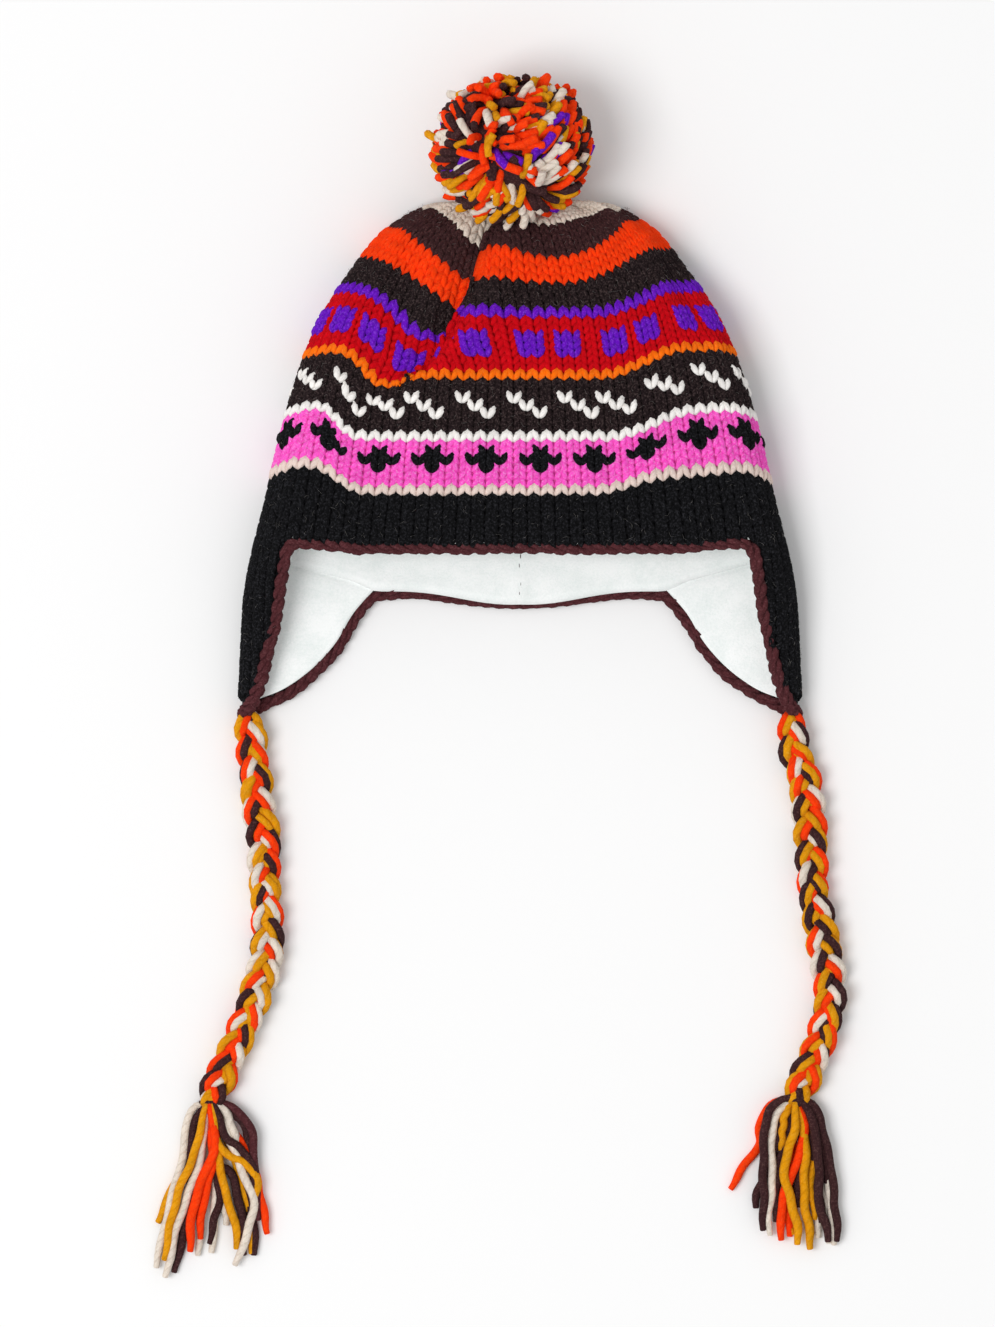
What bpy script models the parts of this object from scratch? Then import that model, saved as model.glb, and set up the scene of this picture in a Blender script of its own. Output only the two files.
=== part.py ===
# Hand-knitted hat with ear flaps, a fleece lining, a yarn pompom and two braided ties.
# It lies on its back: +Z is up, +Y points to the pompom, +X to the viewer's right.
# The origin is on the surface it lies on, below the middle of the hat and its flaps.
# All lengths are in metres.

import math
import random

import bpy
import bmesh
import numpy as np
from mathutils import Vector
from mathutils.bvhtree import BVHTree

# Driving sizes

RIM_HALF_WIDTH = 0.1385      # half the width of the hat, laid flat, at its front rim
CROWN_HEIGHT = 0.178         # front rim to the gathered top
LYING_HEIGHT = 0.052         # how high the lying hat stands at its fullest
FLAP_DROP = 0.0845           # front rim to the tip of an ear flap
KNIT_WALL = 0.005            # thickness of the two-colour knitting
FLEECE_WALL = 0.002          # thickness of the lining
SEAM_GAP = 0.0003            # clearance between pieces that touch
EDGING_DIAMETER = 0.0068     # crocheted cord round the opening
EDGING_SEAT = 0.0005         # clearance between the edging and the walls it closes
CORNER_OVERDRAW = 1.3        # how far the edging runs round a corner, by what smoothing cuts off
POMPOM_RADIUS = 0.0435       # to the ends of its yarns
POMPOM_SQUASH = (1.02, 0.93, 0.95)  # how the lying ball is pressed along X, Y and Z
POMPOM_CORE = 0.034          # to the roots of its tufts
POMPOM_CLEARANCE = 0.0026    # how far its yarns keep off the crown before it is seated
TUFT_SPACING = 0.0012        # half the gap between the roots of two tufts
TUFT_TAPER = 0.88            # width of a tuft's end by its root
POMPOM_SINK = 0.0135         # how far the pompom covers the gathered top, seen from above
POMPOM_SHIFT = -0.004        # how far it leans to the left
BRAID_DIAMETER = 0.017
TASSEL_LENGTH = 0.088
TASSEL_KNOT = 0.0085         # radius of the knot where a tassel starts
TASSEL_LOCK = 0.0082         # thickness of one lock of its yarns

# The front rim's place puts the middle of the hat, pompom to flap tips, at the origin.
ABOVE_RIM = CROWN_HEIGHT - POMPOM_SINK + 2 * POMPOM_RADIUS * POMPOM_SQUASH[1]
BELOW_RIM = FLAP_DROP + EDGING_DIAMETER + EDGING_SEAT
RIM_Y = 0.5 * (BELOW_RIM - ABOVE_RIM)

# Cross sections of the hat from below the flap tips up to the gathers.
# along: place on the front, share of CROWN_HEIGHT above the rim; rise: its level, the same share
# half_width: share of RIM_HALF_WIDTH; top and bottom: share of LYING_HEIGHT
CROWN_SECTIONS = (
    # along, rise, half_width, top, bottom
    (0.000, 0.000, 1.000, 0.83, 0.00),
    (0.120, 0.120, 0.961, 0.90, 0.00),
    (0.290, 0.290, 0.912, 0.96, 0.00),
    (0.470, 0.470, 0.848, 1.00, 0.00),
    (0.640, 0.640, 0.765, 1.00, 0.00),
    (0.820, 0.820, 0.622, 0.90, 0.00),
    (0.910, 0.910, 0.534, 0.75, 0.00),
    (0.950, 0.950, 0.464, 0.66, 0.00),
    (1.009, 0.980, 0.399, 0.57, 0.05),
    (1.074, 1.000, 0.319, 0.50, 0.12),
    (1.136, 1.003, 0.239, 0.45, 0.18),
    (1.210, 0.990, 0.145, 0.41, 0.24),
    (1.274, 0.972, 0.065, 0.38, 0.28),
    (1.312, 0.960, 0.020, 0.36, 0.31),
)

# drop: share of FLAP_DROP below the rim; the other columns as above
FLAP_SECTIONS = (
    # drop, half_width, top
    (0.19, 1.026, 0.74),
    (0.38, 1.042, 0.66),
    (0.55, 1.048, 0.58),
    (0.72, 1.053, 0.52),
    (1.00, 1.060, 0.46),
    (1.30, 1.060, 0.46),
)
CREASE_SHARE = 0.4           # height of the side crease and of the roll above it, by the top
ROLL_SHARE = 1.1             # depth of the side roll, by its height

# Edges of one flap, from the rim to the tip. Drops are shares of FLAP_DROP below the rim,
# x is a share of RIM_HALF_WIDTH from the middle, on the upper and on the under side.
FLAP_EDGES = (
    # down, front_drop, front_x, back_drop, back_x
    (0.0, -0.043, 0.892, 0.265, 0.556),
    (0.2, 0.212, 0.922, 0.425, 0.639),
    (0.4, 0.425, 0.939, 0.608, 0.704),
    (0.6, 0.638, 0.968, 0.780, 0.798),
    (0.8, 0.830, 1.004, 0.905, 0.905),
    (1.0, 0.965, 1.041, 0.960, 0.985),
)
BACK_RIM_DROP = 0.345        # middle of the back rim, share of FLAP_DROP below the front rim
TIP_ROUNDING = 0.045         # how far the tip bulges below its corners, the same share
RIM_CURVE_START = 0.6        # share of the way to the flap where the front rim starts to rise

# Dents of the upper side: a valley along a line, with the fabric beside it pushed up.
# along: share of CROWN_HEIGHT; x, width, depth and bulge: shares of RIM_HALF_WIDTH
TUCK = (
    # along, x, depth
    (0.400, -0.530, 0.000),
    (0.465, -0.448, 0.020),
    (0.568, -0.301, 0.044),
    (0.669, -0.214, 0.052),
    (0.757, -0.160, 0.052),
    (0.868, -0.123, 0.046),
    (0.950, -0.087, 0.026),
    (1.040, -0.060, 0.000),
)
TUCK_WIDTH = 0.062
TUCK_BULGE = 0.42            # height of the overlapping side, by the depth of the tuck
TUCK_VALLEY = -0.55          # the valley's middle beside the line, in widths of the tuck
TUCK_RIDGE = 1.05            # the overlapping side's middle beside the line, in widths
DENTS = (
    # start_along, start_x, end_along, end_x, width, depth
    (0.800, -0.440, 0.590, -0.490, 0.075, 0.022),
    (0.870, 0.570, 0.640, 0.665, 0.055, 0.026),
    (0.330, 0.100, 0.300, 0.560, 0.120, 0.012),
)
DENT_FADE = (0.22, 0.27)     # turns between which the dents fade out round the side
INNER_DENT = 0.6             # share of a dent that reaches the inner side of the wall
GATHER_FOLDS = 11            # folds that run to the drawn-up top
GATHER_DEPTH = 0.016         # share of RIM_HALF_WIDTH
GATHER_RANGE = (0.84, 1.27)  # where they start and end, shares of CROWN_HEIGHT

# Columns of the crown's mesh: shares of the way from the middle to each flap and round it
LEFT_FRONT_STEPS = (0.0, 0.07, 0.15, 0.23, 0.31, 0.41, 0.52, 0.64, 0.76, 0.88, 1.0)
RIGHT_FRONT_STEPS = tuple(step / 10 for step in range(11))
SIDE_COUNT = 8
BACK_COUNT = 5
CROWN_ROWS = 12              # rows between the rim and the shoulder of the crown
FLAP_ROWS = 8
SHOULDER_ALONG = 0.907       # where the inner side of the crown closes in a dome
DOME_SCALES = (0.86, 0.60, 0.30)
DOME_RISE = 0.962            # level of the dome's middle before its wall, share of CROWN_HEIGHT
DOME_SLACK = 1.3             # how much thicker the wall is at the dome's middle

# Routes of the ties on the surface, chosen by hand, from the flap tip to the tassel.
LEFT_ROUTE = (
    (-0.1396, -0.1826), (-0.1385, -0.1904), (-0.1370, -0.1980),
    (-0.1366, -0.2060), (-0.1357, -0.2150), (-0.1342, -0.2230), (-0.1332, -0.2320),
    (-0.1330, -0.2440), (-0.1322, -0.2560), (-0.1314, -0.2680), (-0.1312, -0.2800),
    (-0.1318, -0.2910), (-0.1340, -0.3020), (-0.1378, -0.3130), (-0.1418, -0.3230),
    (-0.1462, -0.3330), (-0.1505, -0.3430), (-0.1552, -0.3540), (-0.1604, -0.3650),
)
RIGHT_ROUTE = (
    (0.1418, -0.1826), (0.1452, -0.1904), (0.1476, -0.1975),
    (0.1490, -0.2060), (0.1502, -0.2160), (0.1508, -0.2260), (0.1511, -0.2360),
    (0.1516, -0.2460), (0.1524, -0.2560), (0.1540, -0.2660), (0.1560, -0.2760),
    (0.1578, -0.2870), (0.1602, -0.2990), (0.1614, -0.3100), (0.1598, -0.3210),
    (0.1570, -0.3320), (0.1530, -0.3430), (0.1484, -0.3540), (0.1444, -0.3640),
)
BRAID_POINTS = 22            # points of a braid's smooth centre line
BRAID_LIFT = 0.0002          # clearance above the surface

# Locks of a tassel: spread of its end from the tassel's middle in degrees, length share,
# layer above the surface and sideways bend
LEFT_LOCKS = (
    # spread, length, layer, bend
    (-19, 0.80, 0, 0.04), (-15, 0.98, 1, -0.03), (-12, 1.00, 0, 0.04), (-8, 0.90, 1, 0.03),
    (-4, 0.97, 0, -0.03), (0, 0.93, 1, 0.03), (4, 0.84, 0, 0.03), (8, 0.92, 1, -0.04),
    (12, 0.88, 0, 0.03), (15, 0.86, 1, 0.03), (19, 0.78, 0, -0.02),
)
RIGHT_LOCKS = (
    # spread, length, layer, bend
    (-44, 0.52, 0, 0.04), (-14, 0.70, 0, -0.03), (-11, 0.77, 1, 0.03), (-8, 0.80, 0, -0.03),
    (-4, 0.77, 1, 0.03), (0, 0.82, 0, 0.03), (4, 0.79, 1, 0.02), (8, 0.82, 0, 0.03),
    (11, 0.78, 1, 0.02), (14, 0.74, 0, -0.03),
)
LOCK_SIDES = 5
LOCK_STATIONS = (0.0, 0.15, 0.4, 0.7, 1.0)
LOCK_END = 0.75              # thickness of a lock at both ends, by that of its middle
LOCK_LAYER = 0.6             # height of the upper layer of locks, by a lock's thickness
LOCK_SINK = 0.4              # share of that height lost towards the ends
LOCK_SETTLED = 0.4           # share of a lock's length after which it lies on the surface
LEFT_TASSEL_AIM = (0.0, -1.0)
RIGHT_TASSEL_AIM = (0.0, -1.0)

FORM_STEPS = 200             # sections of the worked-out form
LOOP_STEPS = 240             # places round half a section


def clear_scene():
    for item in list(bpy.data.objects):
        bpy.data.objects.remove(item, do_unlink=True)


def fabric(name, colour, roughness):
    material = bpy.data.materials.new(name)
    material.use_nodes = True
    shader = material.node_tree.nodes["Principled BSDF"]
    shader.inputs["Base Color"].default_value = (*colour, 1.0)
    shader.inputs["Roughness"].default_value = roughness
    shader.inputs["Metallic"].default_value = 0.0
    material.diffuse_color = (*colour, 1.0)
    return material


def smooth_column(places, values):
    """Return a smooth curve through a table's column that never overshoots its values."""
    places = np.asarray(places, dtype=float)
    values = np.asarray(values, dtype=float)
    steps = np.diff(places)
    slopes = np.diff(values) / steps
    tangents = np.zeros_like(values)
    tangents[0], tangents[-1] = slopes[0], slopes[-1]
    for i in range(1, len(values) - 1):
        if slopes[i - 1] * slopes[i] > 0:
            tangents[i] = 2.0 * slopes[i - 1] * slopes[i] / (slopes[i - 1] + slopes[i])

    def curve(at):
        at = np.clip(np.asarray(at, dtype=float), places[0], places[-1])
        i = np.clip(np.searchsorted(places, at, side="right") - 1, 0, len(steps) - 1)
        f = (at - places[i]) / steps[i]
        return ((1 + 2 * f) * (1 - f) ** 2 * values[i] + f * (1 - f) ** 2 * steps[i] * tangents[i]
                + f * f * (3 - 2 * f) * values[i + 1] - f * f * (1 - f) * steps[i] * tangents[i + 1])

    return curve


class HatForm:
    """The smooth outer form of the hat as a flattened tube.

    A place on it is given by turn, 0 at the middle of the front, 0.25 near the right crease and
    0.5 at the middle of the back, and by along, the distance up the front from the rim.
    """

    def __init__(self):
        rows = [(-drop * FLAP_DROP, -drop * FLAP_DROP, half_width * RIM_HALF_WIDTH,
                 top * LYING_HEIGHT, 0.0)
                for drop, half_width, top in reversed(FLAP_SECTIONS)]
        rows += [(along * CROWN_HEIGHT, rise * CROWN_HEIGHT, half_width * RIM_HALF_WIDTH,
                  top * LYING_HEIGHT, bottom * LYING_HEIGHT)
                 for along, rise, half_width, top, bottom in CROWN_SECTIONS]
        columns = list(zip(*rows))
        rise, half_width, top, bottom = (smooth_column(columns[0], c) for c in columns[1:])
        self.lowest, self.highest = columns[0][0], columns[0][-1]
        self.alongs = np.linspace(self.lowest, self.highest, FORM_STEPS)
        self.y = RIM_Y + rise(self.alongs)
        self.x = np.zeros((FORM_STEPS, LOOP_STEPS + 1))
        self.z = np.zeros((FORM_STEPS, LOOP_STEPS + 1))
        for i, along in enumerate(self.alongs):
            self.x[i], self.z[i] = self.half_section(
                float(half_width(along)), float(top(along)), float(bottom(along)))
        tuck = list(zip(*TUCK))
        self.tuck_x = smooth_column(tuck[0], tuck[1])
        self.tuck_depth = smooth_column(tuck[0], tuck[2])

    @staticmethod
    def half_section(width, top, bottom):
        """Return x and z from the front middle round the right crease to the back middle."""
        crease = CREASE_SHARE * (top - bottom)
        roll = min(ROLL_SHARE * crease, 0.9 * width)
        dome = top - bottom - 2 * crease
        angle = np.linspace(0.0, math.pi, 4 * LOOP_STEPS)
        x = width * np.sin(angle)
        x[-1] = 0.0
        into_roll = np.clip((x - (width - roll)) / roll, 0.0, 1.0)
        round_side = np.sqrt(1.0 - into_roll ** 2)
        upper = bottom + crease + crease * round_side + dome * (1.0 - (x / width) ** 2)
        under = bottom + crease - crease * round_side
        z = np.where(angle <= math.pi / 2, upper, under)
        length = np.concatenate(([0.0], np.cumsum(np.hypot(np.diff(x), np.diff(z)))))
        even = np.linspace(0.0, length[-1], LOOP_STEPS + 1)
        return np.interp(even, length, x), np.interp(even, length, z)

    def base(self, turn, along):
        """Return the points of the form without its dents."""
        turn, along = np.broadcast_arrays(np.asarray(turn, float), np.asarray(along, float))
        share = (np.clip(along, self.lowest, self.highest) - self.lowest)
        row = share / (self.highest - self.lowest) * (FORM_STEPS - 1)
        i = np.clip(row.astype(int), 0, FORM_STEPS - 2)
        f = row - i
        part = np.mod(turn, 1.0)
        side = np.where(part <= 0.5, 1.0, -1.0)
        column = np.where(part <= 0.5, part, 1.0 - part) * 2 * LOOP_STEPS
        j = np.clip(column.astype(int), 0, LOOP_STEPS - 1)
        g = column - j

        def read(table):
            low = table[i, j] * (1 - g) + table[i, j + 1] * g
            high = table[i + 1, j] * (1 - g) + table[i + 1, j + 1] * g
            return low * (1 - f) + high * f

        y = self.y[i] * (1 - f) + self.y[i + 1] * f
        return np.stack((side * read(self.x), y, read(self.z)), axis=-1)

    def normal(self, turn, along):
        """Return the outward directions of the form without its dents."""
        across, up = 0.004, 0.002
        around = self.base(turn + across, along) - self.base(turn - across, along)
        upward = self.base(turn, along + up) - self.base(turn, along - up)
        direction = np.cross(around, upward)
        return direction / np.linalg.norm(direction, axis=-1, keepdims=True)

    def dent(self, turn, along):
        """Return how far the form is pushed in (negative) or out at each place."""
        point = self.base(turn, along)
        part = np.mod(turn, 1.0)
        from_front = np.minimum(part, 1.0 - part)
        full, gone = DENT_FADE
        front = np.clip((gone - from_front) / (gone - full), 0.0, 1.0)
        x = point[..., 0] / RIM_HALF_WIDTH
        level = np.asarray(along) / CROWN_HEIGHT
        depth = self.tuck_depth(level)
        beside = (x - self.tuck_x(level)) / TUCK_WIDTH
        push = -depth * np.exp(-(beside - TUCK_VALLEY) ** 2)
        push = push + TUCK_BULGE * depth * np.exp(-(beside - TUCK_RIDGE) ** 2)
        for start, start_x, end, end_x, width, deep in DENTS:
            run = np.array((end_x - start_x, end - start))
            place = ((x - start_x) * run[0] + (level - start) * run[1]) / (run @ run)
            place = np.clip(place, 0.0, 1.0)
            gap = np.hypot(x - start_x - place * run[0], level - start - place * run[1])
            push = push - deep * np.exp(-(gap / width) ** 2)
        start, end = GATHER_RANGE
        gathered = np.sin(np.clip((level - start) / (end - start), 0.0, 1.0) * math.pi)
        folds = 0.5 - 0.5 * np.cos(2 * math.pi * GATHER_FOLDS * part)
        return (push * front - GATHER_DEPTH * gathered * folds) * RIM_HALF_WIDTH

    def point(self, turn, along, inset=0.0):
        """Return points on the outer side, or a wall's depth below it."""
        share = 1.0 if inset == 0.0 else INNER_DENT
        offset = self.dent(turn, along) * share - inset
        return self.base(turn, along) + offset[..., None] * self.normal(turn, along)

    def turn_at(self, along, x, under):
        """Return the turn where the right half of a section is x wide, above or under."""
        turns = np.linspace(0.0, 0.5, 2 * LOOP_STEPS + 1)
        widths = self.base(turns, np.full_like(turns, along))[:, 0]
        crease = int(np.argmax(widths))
        if under:
            return float(np.interp(x, widths[crease:][::-1], turns[crease:][::-1]))
        return float(np.interp(x, widths[:crease + 1], turns[:crease + 1]))


class Opening:
    """The edge of the hat's opening: front rim, flap edges and back rim of the right half."""

    def __init__(self, form):
        self.form = form
        columns = list(zip(*FLAP_EDGES))
        self.front_drop, self.front_x, self.back_drop, self.back_x = (
            smooth_column(columns[0], column) for column in columns[1:])
        self.front_corner = self.front(0.0)
        self.back_corner = self.back(0.0)
        self.back_middle = -BACK_RIM_DROP * FLAP_DROP

    def front(self, down):
        along = -float(self.front_drop(down)) * FLAP_DROP
        x = float(self.front_x(down)) * RIM_HALF_WIDTH
        return self.form.turn_at(along, x, under=False), along

    def back(self, down):
        along = -float(self.back_drop(down)) * FLAP_DROP
        x = float(self.back_x(down)) * RIM_HALF_WIDTH
        return self.form.turn_at(along, x, under=True), along

    def crown_edge(self, turn):
        """Return along for the crown's lower edge at a turn between 0 and 0.5."""
        front_turn, front_along = self.front_corner
        back_turn, back_along = self.back_corner
        if turn <= front_turn:
            share = max(0.0, (turn / front_turn - RIM_CURVE_START) / (1.0 - RIM_CURVE_START))
            return front_along * share * share * (3 - 2 * share)
        if turn <= back_turn:
            share = (turn - front_turn) / (back_turn - front_turn)
            return front_along + (back_along - front_along) * share
        share = (turn - back_turn) / (0.5 - back_turn)
        return back_along + (self.back_middle - back_along) * math.sin(share * math.pi / 2) ** 2

    def flap_place(self, across, down):
        """Return turn and along of a place on the right flap."""
        front_turn, front_along = self.front(down)
        back_turn, back_along = self.back(down)
        bulge = TIP_ROUNDING * FLAP_DROP * down ** 3 * math.sin(across * math.pi)
        along = front_along + (back_along - front_along) * across - bulge
        return front_turn + (back_turn - front_turn) * across, along


def new_object(name, mesh_builder, material, collection, smooth_angle=50.0):
    """Make a named object from a bmesh with its faces pointing out."""
    bmesh.ops.recalc_face_normals(mesh_builder, faces=mesh_builder.faces[:])
    if mesh_builder.calc_volume(signed=True) < 0:
        bmesh.ops.reverse_faces(mesh_builder, faces=mesh_builder.faces[:])
    mesh = bpy.data.meshes.new(name)
    mesh_builder.to_mesh(mesh)
    mesh_builder.free()
    mesh.shade_smooth()
    mesh.set_sharp_from_angle(angle=math.radians(smooth_angle))
    mesh.materials.append(material)
    item = bpy.data.objects.new(name, mesh)
    collection.objects.link(item)
    return item


def loft_wall(outer, inner, ring, outer_pole=None, inner_pole=None):
    """Loft a wall between two skins, each a list of rows of points that starts at the edge.

    With ring the rows close round. A pole closes the last row of each skin to a point; without
    poles the two last rows are joined, as the first ones are. Each four-sided face is split from
    the front to the back on both halves, so that two walls that meet have the same creases.
    """
    body = bmesh.new()
    skins = []
    for skin in (outer, inner):
        skins.append([[body.verts.new(point) for point in row] for row in skin])
    count = len(outer[0])
    pairs = [(i, (i + 1) % count) for i in range(count if ring else count - 1)]

    def strip(first, second):
        for i, j in pairs:
            if ring and i >= count // 2:
                i, j = j, i
            body.faces.new((first[i], first[j], second[j]))
            body.faces.new((first[i], second[j], second[i]))

    for skin in skins:
        for first, second in zip(skin, skin[1:]):
            strip(first, second)
    strip(skins[0][0], skins[1][0])
    if outer_pole is None:
        strip(skins[0][-1], skins[1][-1])
    else:
        for skin, pole in zip(skins, (outer_pole, inner_pole)):
            tip = body.verts.new(pole)
            for i, j in pairs:
                body.faces.new((skin[-1][i], skin[-1][j], tip))
    if not ring:
        for end in (0, -1):
            for (a, b), (c, d) in zip(zip(skins[0], skins[0][1:]), zip(skins[1], skins[1][1:])):
                body.faces.new((a[end], b[end], d[end], c[end]))
    return body


def crown_turns(opening):
    """Return the crown's columns round the section, with one at each flap's corner."""
    front, back = opening.front_corner[0], opening.back_corner[0]
    right = [share * front for share in RIGHT_FRONT_STEPS]
    side = [front + (back - front) * i / SIDE_COUNT for i in range(1, SIDE_COUNT + 1)]
    rear = [back + (0.5 - back) * i / BACK_COUNT for i in range(1, BACK_COUNT + 1)]
    left = [1.0 - turn for turn in reversed(side + rear[:-1])]
    left += [1.0 - share * front for share in reversed(LEFT_FRONT_STEPS[1:])]
    return right + side + rear + left


def crown_edges(opening, turns):
    return [opening.crown_edge(min(turn, 1.0 - turn)) for turn in turns]


def skin_rows(form, turns, edges, inset):
    """Return the rows of a skin from the rim up to the shoulder."""
    shoulder = SHOULDER_ALONG * CROWN_HEIGHT - DOME_SLACK * max(0.0, inset - KNIT_WALL)
    rows = []
    for step in range(CROWN_ROWS + 1):
        share = step / CROWN_ROWS
        alongs = np.array([edge + (shoulder - edge) * share for edge in edges])
        rows.append([Vector(p) for p in form.point(np.array(turns), alongs, inset)])
    return rows


def dome_rows(rows, inset):
    """Return the rows and the pole that close a skin above its shoulder."""
    last = rows[-1]
    middle_z = 0.5 * (max(p.z for p in last) + min(p.z for p in last))
    pole = Vector((0.0, RIM_Y + DOME_RISE * CROWN_HEIGHT - DOME_SLACK * inset, middle_z))
    closing = []
    for scale in DOME_SCALES:
        lift = math.sqrt(1.0 - scale * scale)
        closing.append([Vector((p.x * scale, p.y + (pole.y - p.y) * lift,
                                pole.z + (p.z - pole.z) * scale)) for p in last])
    return closing, pole


def build_crown(form, opening, material, collection):
    turns = crown_turns(opening)
    edges = crown_edges(opening, turns)
    outer = skin_rows(form, turns, edges, 0.0)
    for along, *_ in CROWN_SECTIONS:
        if along > SHOULDER_ALONG + 0.01:
            alongs = np.full(len(turns), along * CROWN_HEIGHT)
            outer.append([Vector(p) for p in form.point(np.array(turns), alongs)])
    gather = sum(outer[-1], Vector()) / len(turns)
    inner = skin_rows(form, turns, edges, KNIT_WALL)
    closing, pole = dome_rows(inner, KNIT_WALL)
    body = loft_wall(outer, inner + closing, True, gather, pole)
    return new_object("crown", body, material, collection)


def build_crown_lining(form, opening, material, collection):
    turns = crown_turns(opening)
    edges = crown_edges(opening, turns)
    skins = []
    for inset in (KNIT_WALL + SEAM_GAP, KNIT_WALL + SEAM_GAP + FLEECE_WALL):
        rows = skin_rows(form, turns, edges, inset)
        closing, pole = dome_rows(rows, inset)
        skins.append((rows + closing, pole))
    body = loft_wall(skins[0][0], skins[1][0], True, skins[0][1], skins[1][1])
    return new_object("lining_crown", body, material, collection)


def build_flap(name, form, opening, side, depth, wall, material, collection):
    """Loft one flap's wall. side is 1 for the right flap and -1 for the left one."""
    skins = []
    for inset in (depth, depth + wall):
        rows = []
        for step in range(FLAP_ROWS + 1):
            down = step / FLAP_ROWS
            places = [opening.flap_place(i / SIDE_COUNT, down) for i in range(SIDE_COUNT + 1)]
            turns = np.array([side * turn for turn, _ in places])
            alongs = np.array([along for _, along in places])
            if step == 0:
                alongs = alongs - SEAM_GAP
            rows.append([Vector(p) for p in form.point(turns, alongs, inset)])
        skins.append(rows)
    return new_object(name, loft_wall(skins[0], skins[1], False), material, collection)


def edge_places(opening):
    """Return turn and along round the whole opening, starting at the front middle."""
    front, back = opening.front_corner[0], opening.back_corner[0]
    places = [(share * front, opening.crown_edge(share * front))
              for share in np.linspace(0.0, 1.0, 13)[:-1]]
    places += [opening.front(down) for down in np.linspace(0.0, 0.96, 11)]
    places += [opening.flap_place(across, 1.0) for across in np.linspace(0.08, 0.92, 6)]
    places += [opening.back(down) for down in np.linspace(0.96, 0.0, 11)]
    places += [(back + (0.5 - back) * share, opening.crown_edge(back + (0.5 - back) * share))
               for share in np.linspace(0.0, 1.0, 8)[1:]]
    return places + [(1.0 - turn, along) for turn, along in reversed(places[1:-1])]


def smooth_closed(points, passes):
    """Round the corners of a closed line."""
    for _ in range(passes):
        points = 0.5 * points + 0.25 * (np.roll(points, 1, axis=0) + np.roll(points, -1, axis=0))
    return points


def edging_line(form, opening):
    """Return the edging's centre line, just outside the edges of both walls."""
    places = edge_places(opening)
    turns = np.array([turn for turn, _ in places])
    alongs = np.array([along for _, along in places])
    walls = KNIT_WALL + SEAM_GAP + FLEECE_WALL
    middle = form.point(turns, alongs, 0.5 * walls)
    normals = form.normal(turns, alongs)
    ahead = np.roll(middle, -1, axis=0) - np.roll(middle, 1, axis=0)
    outward = np.cross(ahead, normals)
    outward /= np.linalg.norm(outward, axis=1, keepdims=True)
    reach = 0.5 * EDGING_DIAMETER + EDGING_SEAT
    sharp = middle + outward * reach
    line = smooth_closed(sharp, 1)
    pulled_in = np.maximum(0.0, np.sum((sharp - line) * outward, axis=1, keepdims=True))
    line = line + CORNER_OVERDRAW * pulled_in * outward
    line[:, 2] = np.maximum(line[:, 2], 0.5 * EDGING_DIAMETER + SEAM_GAP)
    return line


def tube(name, points, diameter, closed, sides, material, collection):
    """Make a round cord along a line as a bevelled curve with filled caps."""
    curve = bpy.data.curves.new(name, "CURVE")
    curve.dimensions = "3D"
    curve.bevel_depth = 0.5 * diameter
    curve.bevel_resolution = sides
    curve.use_fill_caps = not closed
    spline = curve.splines.new("POLY")
    spline.points.add(len(points) - 1)
    for handle, point in zip(spline.points, points):
        handle.co = (*point, 1.0)
    spline.use_cyclic_u = closed
    spline.use_smooth = True
    curve.materials.append(material)
    item = bpy.data.objects.new(name, curve)
    collection.objects.link(item)
    return item


def flap_tip(edging, side):
    """Return where a tie starts: below the lowest place of the edging on one flap."""
    flap = edging[edging[:, 0] * side > 0.0]
    lowest = flap[:, 1].min()
    tip = flap[flap[:, 1] < lowest + 0.25 * EDGING_DIAMETER]
    return float(tip[:, 0].mean()), float(lowest) - 0.5 * EDGING_DIAMETER - EDGING_SEAT


def smooth_route(route, height, count):
    """Return evenly spaced points of a smooth curve through a route's points."""
    points = [np.array((x, y, height)) for x, y in route]
    points = [2 * points[0] - points[1]] + points + [2 * points[-1] - points[-2]]
    fine = []
    for before, start, end, after in zip(points, points[1:], points[2:], points[3:]):
        for f in np.linspace(0.0, 1.0, 12, endpoint=False):
            fine.append(0.5 * (2 * start + (end - before) * f
                               + (2 * before - 5 * start + 4 * end - after) * f ** 2
                               + (3 * start - before - 3 * end + after) * f ** 3))
    fine.append(points[-2])
    fine = np.array(fine)
    length = np.concatenate(([0.0], np.cumsum(np.linalg.norm(np.diff(fine, axis=0), axis=1))))
    even = np.linspace(0.0, length[-1], count)
    return np.stack([np.interp(even, length, fine[:, k]) for k in range(3)], axis=1)


def surface_tree(item):
    """Return a search tree of an object's faces, which lie in world space."""
    corners = [vertex.co for vertex in item.data.vertices]
    return BVHTree.FromPolygons(corners, [face.vertices for face in item.data.polygons])


def free_reach(tree, centre, directions, reach):
    """Return how far rays from a centre go before the shortest of them meets a surface."""
    for direction in directions:
        distance = tree.ray_cast(centre, direction)[3]
        if distance is not None:
            reach = min(reach, distance - POMPOM_CLEARANCE)
    return reach


def seat(body, item, tree):
    """Move a closed shape towards -Y until it all but touches an object."""
    for _ in range(8):
        own_tree = BVHTree.FromBMesh(body)
        gap = min(tree.find_nearest(vertex.co)[3] for vertex in body.verts)
        gap = min(gap, min(own_tree.find_nearest(vertex.co)[3] for vertex in item.data.vertices))
        bmesh.ops.translate(body, verts=body.verts, vec=(0.0, EDGING_SEAT - gap, 0.0))


def squash(direction):
    """Return the radius of the pressed ball in a direction, as a share of the round one."""
    flat = [part / press for part, press in zip(direction.normalized(), POMPOM_SQUASH)]
    return 1.0 / math.sqrt(sum(part * part for part in flat))


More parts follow.
